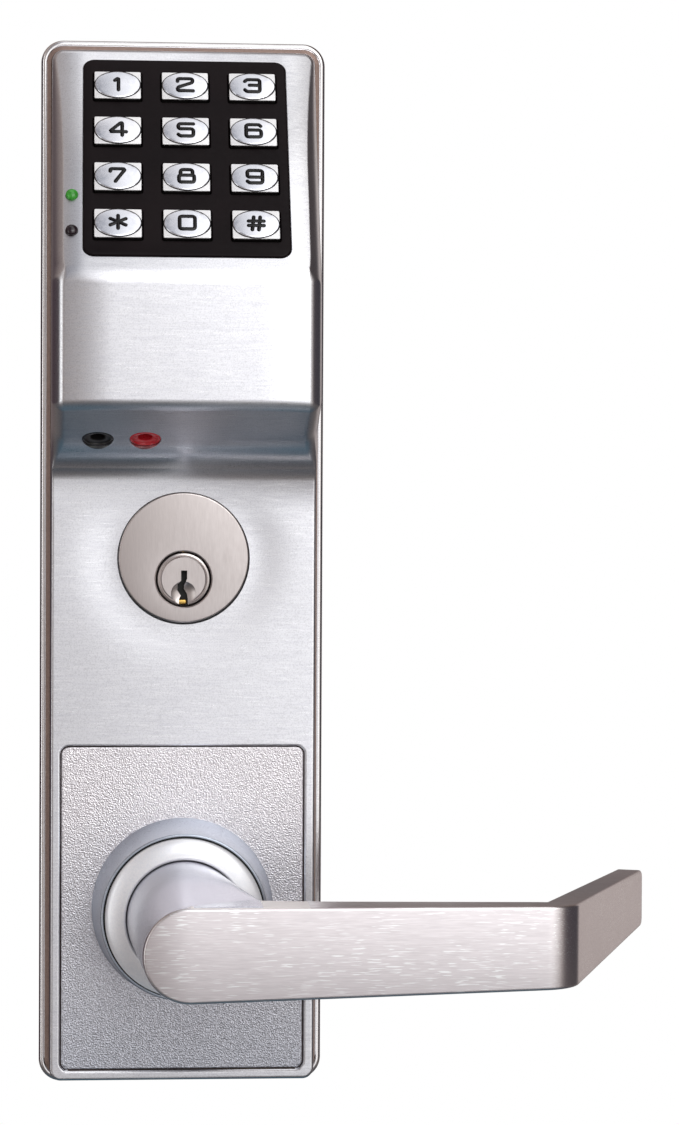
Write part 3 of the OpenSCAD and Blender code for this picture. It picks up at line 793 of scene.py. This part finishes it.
# Legends: strokes in a box from (-1, -1) to (1, 1)
STROKES = {
    "1": [[(-0.35, 0.55), (0.1, 1.0), (0.1, -1.0)]],
    "2": [[(-0.95, 0.55), (-0.95, 1.0), (0.95, 1.0), (0.95, 0.35), (-0.95, -0.45), (-0.95, -1.0),
           (1.0, -1.0)]],
    "3": [[(-0.95, 0.7), (-0.7, 1.0), (0.95, 1.0), (0.95, -1.0), (-0.7, -1.0), (-0.95, -0.7)],
          [(-0.35, 0.05), (0.9, 0.05)]],
    "4": [[(1.05, -0.45), (-1.05, -0.45), (0.35, 1.0), (0.55, 1.0), (0.55, -1.0)]],
    "5": [[(0.95, 1.0), (-0.95, 1.0), (-0.95, 0.15), (0.95, 0.15), (0.95, -1.0), (-0.7, -1.0),
           (-0.95, -0.75)]],
    "6": [[(0.9, 0.75), (0.7, 1.0), (-0.95, 1.0), (-0.95, -1.0), (0.95, -1.0), (0.95, 0.1),
           (-0.9, 0.1)]],
    "7": [[(-0.95, 0.6), (-0.95, 1.0), (0.95, 1.0), (-0.3, -1.0)]],
    "8": [[(-0.75, 1.0), (0.75, 1.0), (0.75, 0.1), (0.95, 0.0), (0.95, -1.0), (-0.95, -1.0),
           (-0.95, 0.0), (-0.75, 0.1), (-0.75, 1.0)], [(-0.75, 0.08), (0.75, 0.08)]],
    "9": [[(0.9, -0.1), (-0.95, -0.1), (-0.95, 1.0), (0.95, 1.0), (0.95, -1.0), (-0.7, -1.0),
           (-0.95, -0.75)]],
    "0": [[(-0.95, 1.0), (0.95, 1.0), (0.95, -1.0), (-0.95, -1.0), (-0.95, 1.0)]],
    "star": [[(0, 1.0), (0, -1.0)], [(-0.95, 0.5), (0.95, -0.5)], [(-0.95, -0.5), (0.95, 0.5)]],
    "hash": [[(-0.3, 1.0), (-0.5, -1.0)], [(0.5, 1.0), (0.3, -1.0)], [(-0.95, 0.35), (0.95, 0.35)],
             [(-0.95, -0.35), (0.95, -0.35)]],
}
LEGEND_X = 2.08
LEGEND_Y = 1.98
STROKE_R = 0.52


def corner_rounded(path, radius, steps=3):
    """The path with its corners turned into short curves."""
    closed = math.dist(path[0], path[-1]) < 1e-6
    result = [] if closed else [path[0]]
    inner = range(len(path) - 1) if closed else range(1, len(path) - 1)
    for i in inner:
        before = np.array(path[i - 1] if i > 0 else path[-2])
        here, after = np.array(path[i]), np.array(path[i + 1])
        a, b = before - here, after - here
        reach = min(radius, np.linalg.norm(a) / 2, np.linalg.norm(b) / 2)
        p, q = here + a / np.linalg.norm(a) * reach, here + b / np.linalg.norm(b) * reach
        for t in np.linspace(0, 1, steps + 1):
            result.append(tuple((1 - t) ** 2 * p + 2 * t * (1 - t) * here + t * t * q))
    if closed:
        result.append(result[0])
    else:
        result.append(path[-1])
    return result


def stroke_mesh(path, radius, height_of, flatten=0.55, sides=10):
    """A raised stroke with round ends along a flat path. height_of(x, y) is the surface under it."""
    path = [np.array(p) for p in path]
    loops = []

    def ring(centre, direction, size):
        normal = np.array((-direction[1], direction[0]))
        made = []
        for k in range(sides):
            a = 2 * math.pi * k / sides
            x, y = centre + normal * (size * math.cos(a))
            made.append((x, y, height_of(x, y) + size * math.sin(a) * flatten))
        return made

    closed = np.linalg.norm(path[0] - path[-1]) < 1e-6
    directions = []
    for i in range(len(path)):
        after = path[1] if closed and i == len(path) - 1 else path[min(i + 1, len(path) - 1)]
        before = path[-2] if closed and i == 0 else path[max(i - 1, 0)]
        step = after - before
        directions.append(step / np.linalg.norm(step))
    if not closed:
        for a in np.radians((70, 40, 15)):
            centre = path[0] - directions[0] * (radius * math.sin(a))
            loops.append(ring(centre, directions[0], radius * math.cos(a)))
    loops += [ring(p, t, radius) for p, t in zip(path, directions)]
    if not closed:
        for a in np.radians((15, 40, 70)):
            centre = path[-1] + directions[-1] * (radius * math.sin(a))
            loops.append(ring(centre, directions[-1], radius * math.cos(a)))
    return skin(loops, cap_first=not closed, cap_last=not closed)


def key_name(column, row):
    return {(-1, -1.5): "star", (0, -1.5): "0", (1, -1.5): "hash"}.get(
        (column, row), str(int(2 + column + 3 * (1.5 - row))))


FACE_T = 0.3
OVAL_X = 5.95
OVAL_Y = 4.2
DOME = 0.28


def build_key(column, row):
    """Cap, oval pad with a dark ring of painted shade in the groove round it, and the legend."""
    name = key_name(column, row)
    centre = np.array((column * PITCH_X, row * PITCH_Y, 0))
    put = lambda pts: slope_to_body(np.asarray(pts, float).reshape(-1, 3) + centre)
    body = f"key_{name}_body"
    outline_of = lambda inset: rounded_outline(KEY_W - 2 * inset, KEY_H - 2 * inset, 0.35, 4)
    cap = bevelled_prism(f"key_{name}_cap", outline_of, KEY_TOP - FACE_T, KEY_TOP, 0.12, put, KEY_METAL, 3)
    finish_piece(cap, body, [f"key_{name}"])
    stem = prism(f"key_{name}_stem", outline_of(0.03), -1.1, KEY_TOP - FACE_T, put, BLACK)
    finish_piece(stem, body, ())

    def ellipse(scale, level, grow=0.0):
        return [((OVAL_X * scale + grow) * math.cos(a), (OVAL_Y * scale + grow) * math.sin(a), level)
                for a in np.linspace(0, 2 * math.pi, 73)[:-1]]

    pad_edge = KEY_TOP + 0.28
    loops = [put(ellipse(1, KEY_TOP - 0.1, -0.1)), put(ellipse(1, pad_edge - 0.1)),
             put(ellipse(1, pad_edge, -0.12))]
    for s in (0.9, 0.75, 0.55, 0.3, 0.08):
        loops.append(put(ellipse(s, pad_edge + DOME * (1 - s * s))))
    points, faces = skin(loops, cap_first=True, cap_last=True)
    pad = new_object(f"key_{name}_pad", points, faces, [PAD_METAL])
    finish_piece(pad, body, ())

    # Painted shade: a dark tube in the groove round the pad
    groove_loops = []
    for a in np.linspace(0, 2 * math.pi, 9)[:-1]:
        level = KEY_TOP + 0.04 + 0.16 * math.sin(a)
        groove_loops.append(put(ellipse(1, level, 0.06 + 0.17 * math.cos(a))))
    groove_loops.append(groove_loops[0])
    points, faces = skin(groove_loops)
    groove = new_object(f"key_{name}_groove", points, faces, [SHADE_FILL])
    finish_piece(groove, body, ())

    def height_of(x, y):
        share = (x / OVAL_X) ** 2 + (y / OVAL_Y) ** 2
        return pad_edge + DOME * (1 - share) + 0.03

    points, faces = [], []
    for stroke in STROKES[name]:
        path = corner_rounded([(x * LEGEND_X, y * LEGEND_Y) for x, y in stroke], 0.7)
        more, quads = stroke_mesh(path, STROKE_R, height_of)
        shift = sum(len(p) for p in points)
        points.append(put(more))
        faces += [tuple(i + shift for i in quad) for quad in quads]
    legend = new_object(f"key_{name}_legend", np.concatenate(points), faces, [LEGEND])
    finish_piece(legend, body, ())


def build_light(name, y, material):
    profile = [(0.0, -5.9), (LIGHT_R, -5.9), (LIGHT_R, 0.1)]
    for a in np.linspace(0, math.pi / 2, 9):
        profile.append((LIGHT_R * math.cos(a), 0.1 + 0.95 * math.sin(a)))
    loops = []
    for k in range(49):
        t = 2 * math.pi * k / 48
        ring = [(LIGHT_X + r * math.cos(t), y + r * math.sin(t), n) for r, n in profile]
        loops.append(slope_to_body(ring))
    points, faces = skin(loops, closed=False)
    obj = new_object(name + "_dome", points, faces, [material])
    finish_piece(obj, "base", [name])


# ---------------------------------------------------------------- sockets under the housing
def build_socket(name, x, material):
    """A round socket: rounded lip, recessed face and a bore."""
    profile = [(2.0, -9.0), (2.0, -0.6), (2.2, -0.45), (3.2, -0.4), (3.35, -0.3), (3.4, -0.1)]
    profile += [(r, n) for r, n in arc((3.65, -0.1), 0.22, 180, 60, 5)]
    profile += [(4.05, -0.05), (4.05, -12.0), (0.0, -12.0), (0.0, -9.0)]
    loops = []
    for k in range(65):
        t = 2 * math.pi * k / 64
        loops.append(under_to_body([(x + r * math.cos(t), r * math.sin(t), n) for r, n in profile]))
    points, faces = skin(loops, closed=True)
    obj = new_object(name + "_socket", points, faces, [material])
    finish_piece(obj, "base", [name])


# ---------------------------------------------------------------- key cylinder
def build_cylinder():
    edge = 0.5
    # Head and barrel with a row of thread-like grooves, then the plug's hole is cut
    profile = [(0.0, BARREL_END), (BARREL_R - 0.4, BARREL_END), (BARREL_R, BARREL_END + 0.4)]
    for k in range(GROOVES):
        d = -13.4 + k
        profile += [(BARREL_R, d), (BARREL_R - 0.35, d + 0.5)]
    profile += [(14.5, 0.8), (14.5, HEAD_BACK), (CYL_R, HEAD_BACK), (CYL_R, CYL_D - edge)]
    profile += [(CYL_R - edge + edge * math.cos(a), CYL_D - edge + edge * math.sin(a))
                for a in np.linspace(0.2, math.pi / 2, 6)]
    profile += [(0.0, CYL_D)]
    points, faces = lathe(profile, 160, (0, CYL_Z), closed=False)
    obj = new_object("cylinder_body", points, faces, [CYL_METAL])
    loops = []
    for r, d in ((6.4, -16), (6.4, 10), (PLUG_R + 0.3, 10.2), (PLUG_R + 0.3, CYL_D - 0.3),
                 (PLUG_R + 0.9, CYL_D + 0.3), (PLUG_R + 0.9, CYL_D + 2)):
        loops.append([(x, d, PLUG_Z + z) for x, z in arc((0, 0), r, 0, 360, 96)[:-1]])
    points, faces = skin(loops, cap_first=True, cap_last=True)
    cut(obj, [new_object("cut_plug", points, faces, [])])
    smooth(obj.data, 30)
    finish_piece(obj, "base", ["cylinder_shell"])


# The keyway's outline, from the plug's centre
KEYWAY = [
    (-0.65, 2.3), (0.95, 2.3), (0.95, 0.2), (0.55, -0.9), (0.15, -1.6), (0.15, -2.6), (0.95, -3.9),
    (1.15, -5.2), (1.15, -8.0), (-1.25, -8.0), (-1.15, -5.2), (-0.7, -4.4), (-1.6, -3.0),
    (-1.6, -1.3), (-0.65, -0.4),
]
KEYWAY_LOW = 6.1


def build_plug():
    front = CYL_D - 0.1
    profile = [(0.0, -14.0), (6.3, -14.0), (6.3, 9.8), (PLUG_R, 10.4), (PLUG_R, front - 0.9)]
    profile += [(PLUG_R - 0.3, front - 0.3), (PLUG_R - 0.75, front - 0.15), (PLUG_R - 0.9, front - 0.35),
                (PLUG_R - 1.35, front), (0.0, front)]
    points, faces = lathe(profile, 128, (0, PLUG_Z), closed=False)
    obj = new_object("plug_body", points, faces, [CYL_METAL])
    dish = []
    for a in np.linspace(8, 172, 18):
        r, n = 6.2 * math.sin(math.radians(a)), 6.2 * math.cos(math.radians(a))
        dish.append([(r * math.cos(t), front + 5.2 - n, PLUG_Z - 3.9 + r * math.sin(t))
                     for t in np.linspace(0, 2 * math.pi, 65)[:-1]])
    points, faces = skin(dish, cap_first=True, cap_last=True)
    cutters = [new_object("cut_dish", points, faces, [])]
    outline = [(x, PLUG_Z + z) for x, z in KEYWAY]
    cutters.append(prism("cut_keyway", outline, -9, 30, front_to_body))
    cut(obj, cutters)
    smooth(obj.data, 30)
    finish_piece(obj, "plug_body", ["plug"])
    # The keyway's painted shade: a dark fill for the shade deep in the keyway. It stays within the plug's
    # body, clear of the shell's pins as the plug turns
    inside = [(x, max(z, PLUG_Z - KEYWAY_LOW)) for x, z in outline]
    depth = prism("keyway_shade", inside, -8.5, CYL_D - 1.9, front_to_body, SHADE_FILL)
    finish_piece(depth, "plug_body", ())
    # The brass rib that shows at the keyway's foot
    outline_of = lambda inset: [(x - 0.5, y + PLUG_Z - 6.0) for x, y in
                                rounded_outline(2.7 - 2 * inset, 1.3 - 2 * inset, 0.64 - inset, 6)]
    rib = bevelled_prism("keyway_rib", outline_of, 15.2, 18.2, 0.4, front_to_body, BRASS)
    finish_piece(rib, "plug_body", ())


# ---------------------------------------------------------------- rose, ring and lever
def build_rose():
    base = MID_D - PANEL_DEEP
    profile = [(ROSE_R - 2, base), (ROSE_R - 0.2, base), (ROSE_R, base + 0.2), (ROSE_R, base + 0.9),
               (ROSE_R - 0.15, base + 1.1), (21.75, ROSE_D - 0.5)]
    profile += arc((21.4, ROSE_D - 0.45), 0.35, 10, 90, 5)
    profile += [(21.2, ROSE_D - 0.1), (21.05, ROSE_D - 0.25), (21.05, ROSE_D - 1.2), (19.4, ROSE_D - 1.2)]
    points, faces = lathe(profile, 192)
    obj = new_object("rose_cone", points, faces, [ROSE_SHADED_METAL])
    finish_piece(obj, "base", ["rose"])
    hole = RING_HOLE_R
    profile = [(20.6, ROSE_D - 1.2), (20.6, RING_D - 2.35), (20.35, RING_D - 2.05)]
    profile += [(19.4, RING_D - 1.55), (hole + 2.6, RING_D - 1.0), (hole + 1.2, RING_D - 0.6)]
    profile += arc((hole + 0.6, RING_D - 1.2), 0.7, 60, 180, 7)
    profile += [(hole - 0.1, RING_D - 3), (19.0, ROSE_D - 1.2)]
    points, faces = lathe(profile, 192)
    obj = new_object("dress_ring_face", points, faces, [RING_LIT_METAL])
    finish_piece(obj, "base", ["dress_ring"])
    # Painted shade: a dark ring in the gap between the rose and the ring
    profile = [(20.55, ROSE_D - 0.9), (21.1, ROSE_D - 0.9), (21.1, ROSE_D - 0.35), (20.55, ROSE_D - 0.35)]
    points, faces = lathe(profile, 192)
    line = new_object("rose_gap_shade", points, faces, [SHADE_FILL])
    finish_piece(line, "base", ())


BEND_X = 93.0
TIP_X = 123.4
BEND_R = 9.5
LEVER_EDGE = 0.8
LEVER_HIGHLIGHT_X = 28.0
RETURN_A = math.atan((TIP_X - BEND_X) / (LEVER_D - LEVER_TIP_D))


def lever_bend(s, t):
    """A point s along the lever's front skin and t behind it, as (x, d)."""
    turn = math.pi / 2 - RETURN_A
    arc_r = BEND_R
    start = BEND_X + 1.2 - arc_r * math.tan(turn / 2)
    length = arc_r * turn
    over = max(s - start - length, 0.0)
    angle = min(max((s - start) / length, 0.0), 1.0) * turn
    # Behind the arc's centre the two inner faces meet in a corner
    past = max(t - arc_r, 0.0) * math.tan(turn / 2)
    if past > 0:
        if angle <= turn / 2:
            return min(s, start - past), LEVER_D - t
        angle, over = turn, max(over, past)
    if s <= start:
        return s, LEVER_D - t
    x = start + (arc_r - t) * math.sin(angle) + over * math.cos(angle)
    d = LEVER_D - arc_r + (arc_r - t) * math.cos(angle) - over * math.sin(angle)
    return x, d


def lever_thickness(s):
    return float(np.interp(s, (-12, 14, 34, 86, 100, 175), (16.0, 15.6, 12.6, 9.6, 8.6, 6.8)))


def lever_stations():
    """Positions along the skin, close together at the round end, the bend and the tip."""
    left = [-LEVER_END_R * math.cos(a) for a in np.linspace(0, math.pi / 2, 25)]
    turn = math.pi / 2 - RETURN_A
    start = BEND_X + 1.2 - BEND_R * math.tan(turn / 2)
    bend_end = start + BEND_R * turn
    tip_length = (LEVER_D - LEVER_TIP_D - BEND_R * (1 - math.cos(turn))) / math.sin(turn)
    end = bend_end + tip_length
    values = left + list(spaced([(0, 0), (start, 6.0), (bend_end, 0.6), (end - 3, 6.0), (end, 0.3)])[1:])
    return np.array(values), bend_end, end


def lever_edges(s, bend_end, end):
    """Heights of the lever's top and bottom edges at a station."""
    if s < 0:
        h = math.sqrt(max(LEVER_END_R ** 2 - s * s, 0))
        return LEVER_Z + h, LEVER_Z - h
    top = LEVER_Z + LEVER_END_R
    bottom = float(np.interp(s, (0, bend_end, end), (LEVER_Z - LEVER_END_R, -11.5, -6.2)))
    over = max(s - (end - 2.0), 0.0)
    corner = 2.0 - math.sqrt(max(4.0 - over * over, 0.0))
    return top - corner, bottom + corner


def build_lever():
    stations, bend_end, end = lever_stations()
    count = len(stations)
    top = [lever_edges(s, bend_end, end)[0] for s in stations]
    bottom = [lever_edges(s, bend_end, end)[1] for s in stations]
    outline = [(stations[i], top[i]) for i in range(1, count)]
    outline += [(stations[i], bottom[i]) for i in range(count - 1, 0, -1)]
    outline += [(stations[0], LEVER_Z)]
    outline = np.array(outline)
    # Inward normals of the outline, to draw it in for the rounded edges
    ahead, behind = np.roll(outline, -1, 0), np.roll(outline, 1, 0)
    along = ahead - behind
    along /= np.linalg.norm(along, axis=1)[:, None]
    inward = np.column_stack((along[:, 1], -along[:, 0]))
    levels = []
    for a in np.linspace(math.pi / 2, 0, 6):
        levels.append((LEVER_EDGE * (1 - math.cos(a)), LEVER_EDGE * (1 - math.sin(a)), False))
    for a in np.linspace(0, math.pi / 2, 6):
        levels.append((LEVER_EDGE * (1 - math.cos(a)), LEVER_EDGE * (1 - math.sin(a)), True))
    loops = []
    for inset, depth, back in levels:
        loop = []
        for (s, z), (ns, nz) in zip(outline, inward):
            s2, z2 = s + ns * inset, z + nz * inset
            t = lever_thickness(s) - depth if back else depth
            x, d = lever_bend(s2, t)
            loop.append((x, d, z2))
        loops.append(loop)
    points, faces = skin(loops)
    loop_len = len(outline)
    half = count - 1
    for base in (0, (len(loops) - 1) * loop_len):
        # Strips between the top and bottom edges; the round end closes in a triangle
        for i in range(half - 1):
            faces.append((base + i, base + i + 1, base + loop_len - 3 - i, base + loop_len - 2 - i))
        faces.append((base, base + loop_len - 2, base + loop_len - 1))
    bar = new_object("lever_bar", points, faces, [LEVER_METAL, LEVER_TOP_HIGHLIGHT])
    # Painted highlight: top faces close to the neck take the paler material
    for face in bar.data.polygons:
        upper = abs(face.normal.z) > 0.8 and face.center.z > 0
        face.material_index = 1 if upper and 0 < face.center.x < LEVER_HIGHLIGHT_X * MM else 0
    smooth(bar.data, 35)
    finish_piece(bar, "lever_body", ["lever"])
    finish_piece(build_neck(), "lever_body", ())


def build_neck():
    """The neck: round at the rose, then straight lines run from the circle to a wide end inside the bar."""
    loops = []
    spread_from, right_end, left_end = 41.0, LEVER_D - 13.0, LEVER_D - LEVER_EDGE
    for d in spaced([(NECK_BACK, 0), (spread_from, 1.2), (right_end, 1.0), (left_end, 1.0)]):
        loop = []
        for a in np.linspace(0, 2 * math.pi, 97)[:-1]:
            c, s = math.cos(a), math.sin(a)
            share = min(max((c + 0.15) / 0.6, 0.0), 1.0)
            end = left_end + (right_end - left_end) * share
            f = min(max((d - spread_from) / (end - spread_from), 0.0), 1.0)
            reach = NECK_WIDE if c > 0 else LEVER_END_R + 0.04
            gap = 0.04 - 0.34 * share
            side = 1.0 - 0.58 * share
            end_x = reach * math.copysign(abs(c) ** side, c)
            end_z = LEVER_Z * (1 - abs(c)) + (LEVER_END_R + gap) * math.copysign(abs(s) ** side, s)
            if c < 0:
                end_z = LEVER_Z + (LEVER_END_R + gap) * s
            loop.append((NECK_R * c * (1 - f) + end_x * f, d, NECK_R * s * (1 - f) + end_z * f))
        loops.append(loop)
    points, faces = skin(loops, cap_first=True, cap_last=True)
    return new_object("lever_neck", points, faces, [NECK_SHADED_METAL])


# ---------------------------------------------------------------- stage, lights and camera
def build_stage():
    mesh = bpy.data.meshes.new("floor")
    reach, level = 1.6, -0.45
    ring = [(reach * math.cos(a), reach * math.sin(a), level)
            for a in np.linspace(0, 2 * math.pi, 65)[:-1]]
    mesh.from_pydata(ring, [], [tuple(range(64))])
    floor = bpy.data.objects.new("floor", mesh)
    bpy.context.scene.collection.objects.link(floor)
    paint = Paint("floor_paper")
    fleck = paint.noise(300.0, 3.0, 0.6)
    tint = paint.mix(fleck, (0.86, 0.86, 0.86, 1), (0.80, 0.80, 0.80, 1))
    paint.link(tint, paint.shader.inputs["Base Color"])
    paint.set(Roughness=0.8)
    mesh.materials.append(paint.material)
    floor.visible_glossy = False


def softbox(name, position, target, width, height, radiance):
    """An area light with a given brightness, out of the camera's sight."""
    data = bpy.data.lights.new(name, "AREA")
    data.shape = "RECTANGLE"
    data.size, data.size_y = width, height
    data.energy = radiance * math.pi * width * height
    obj = bpy.data.objects.new(name, data)
    bpy.context.scene.collection.objects.link(obj)
    obj.location = position
    obj.rotation_euler = (Vector(target) - Vector(position)).to_track_quat("-Z", "Y").to_euler()
    obj.visible_camera = False


def build_world():
    """Studio surroundings: white to the camera, and bands of light and dark for reflections."""
    world = bpy.data.worlds.new("studio")
    bpy.context.scene.world = world
    world.use_nodes = True
    sky = Nodes(world.node_tree)
    background = world.node_tree.nodes["Background"]
    direction = sky.add("ShaderNodeSeparateXYZ")
    coords = sky.add("ShaderNodeTexCoord")
    sky.link(coords.outputs["Generated"], direction.inputs[0])
    x, y, z = direction.outputs
    azimuth = sky.math("ARCTAN2", x, sky.math("MULTIPLY", y, -1.0))
    height = sky.math("ARCSINE", z)
    turn = sky.spread(azimuth, -math.pi, math.pi)
    level = sky.ramp(turn, [(0.5 + a / 360, c) for a, c in SKY_LEVEL])
    above = sky.ramp(turn, [(0.5 + a / 360, c) for a, c in SKY_ABOVE])
    below = sky.ramp(sky.spread(height, -math.pi / 2, 0.0), [(1 + a / 90, c) for a, c in SKY_BELOW])
    low_share = sky.soft(height, math.radians(-26), math.radians(-8))
    high_share = sky.soft(height, math.radians(12), math.radians(34))
    top_share = sky.soft(height, math.radians(66), math.radians(82))
    colour = sky.mix(high_share, sky.mix(low_share, below, level), above)
    colour = sky.mix(top_share, colour, SKY_TOP)
    path = sky.add("ShaderNodeLightPath")
    shown = sky.mix(path.outputs["Is Camera Ray"], colour, (1.0, 1.0, 1.0, 1.0))
    sky.link(shown, background.inputs["Color"])


# Light by azimuth at eye level and overhead: 0 is behind the camera, 90 to its right
SKY_LEVEL = [
    (-180, (0.22, 0.18, 0.17)), (-125, (0.06, 0.04, 0.05)), (-68, (0.04, 0.03, 0.04)),
    (-62, (0.60, 0.60, 0.60)), (-58, (1.80, 1.80, 1.80)), (-47, (1.80, 1.80, 1.80)),
    (-41, (0.50, 0.46, 0.44)), (-24, (0.38, 0.33, 0.31)), (-6, (0.38, 0.34, 0.33)),
    (0, (0.86, 0.85, 0.87)), (5, (1.46, 1.46, 1.49)), (22, (1.50, 1.50, 1.50)),
    (44, (0.95, 0.92, 0.90)), (54, (0.40, 0.35, 0.33)), (64, (0.06, 0.05, 0.06)),
    (126, (0.05, 0.05, 0.06)), (138, (0.64, 0.57, 0.54)), (152, (0.54, 0.48, 0.46)),
    (163, (0.16, 0.14, 0.14)), (180, (0.18, 0.17, 0.17)),
]
SKY_ABOVE = [
    (-180, (0.24, 0.20, 0.19)), (-110, (0.34, 0.28, 0.26)), (-60, (0.50, 0.44, 0.41)),
    (-38, (0.24, 0.21, 0.21)), (-14, (0.24, 0.26, 0.31)), (1, (1.15, 1.15, 1.17)),
    (24, (1.75, 1.75, 1.75)), (46, (1.72, 1.70, 1.68)), (58, (0.35, 0.30, 0.28)),
    (68, (0.07, 0.06, 0.06)), (110, (0.07, 0.06, 0.06)), (150, (0.20, 0.15, 0.13)),
    (180, (0.24, 0.20, 0.19)),
]
SKY_TOP = (1.05, 1.05, 1.07, 1.0)
# Light by height in degrees below eye level
SKY_BELOW = [
    (-90, (0.06, 0.13, 0.18)), (-60, (0.07, 0.11, 0.14)), (-45, (0.09, 0.09, 0.10)),
    (-20, (0.16, 0.14, 0.13)), (0, (0.20, 0.17, 0.16)),
]


def build_lights():
    softbox("softbox_front", (0.30, -1.0, 0.66), (0, -0.03, 0.05), 0.7, 0.45, 2.6)


def build_camera():
    data = bpy.data.cameras.new("camera")
    data.sensor_width = 36.0
    data.lens = 99.9
    camera = bpy.data.objects.new("camera", data)
    bpy.context.scene.collection.objects.link(camera)
    yaw, pitch, roll = math.radians(4.44), math.radians(-1.37), math.radians(0.28)
    camera.location = (-0.0259, -0.8451, 0.1113)
    ahead = Vector((math.sin(yaw) * math.cos(pitch), math.cos(yaw) * math.cos(pitch), math.sin(pitch)))
    turned = ahead.to_track_quat("-Z", "Y").to_matrix()
    camera.rotation_euler = (turned @ Matrix.Rotation(roll, 3, "Z")).to_euler()
    data.shift_x = 0.0104
    data.shift_y = 0.0012
    data.clip_start, data.clip_end = 0.05, 20.0
    bpy.context.scene.camera = camera
    bpy.context.scene.view_settings.view_transform = "Standard"


# ---------------------------------------------------------------- CAD nodes that keep their shape
def paint_nodes():
    finishes = {
        STEEL: ["back_plate", "back_plate_screws", "mounting_posts", "board_screws", "jack_nuts",
                "pin_springs", "cam_screws", "spring_cage", "return_spring", "lever_hub",
                "lever_set_screw", "retaining_ring", "drive_ring", "spindle", "clutch_motor",
                "motor_bracket"],
        BRASS: ["jack_contacts", "bottom_pins", "driver_pins", "cam", "hub_bushing", "clutch_dog",
                "spindle_collar", "motor_cam"],
        RUBBER: ["gasket", "keypad_mat"],
        BOARD: ["circuit_board"],
        BLACK: ["board_components", "buzzer"],
        CREAM: ["cable_header"],
    }
    for material, names in finishes.items():
        for name in names:
            for slot in nodes[name].material_slots:
                slot.material = material


def build_all():
    build_camera()
    build_world()
    build_lights()
    build_stage()
    paint_nodes()
    build_escutcheon()
    build_bezel()
    for column in KEY_COLUMNS:
        for row in KEY_ROWS:
            build_key(column, row)
    build_light("green_led_lens", LIGHT_ROWS["green"], GREEN_LENS)
    build_light("dark_led_lens", LIGHT_ROWS["dark"], DARK_LENS)
    build_socket("black_jack", JACK_X["black"], BLACK)
    build_socket("red_jack", JACK_X["red"], RED)
    build_cylinder()
    build_plug()
    build_rose()
    build_lever()


build_all()
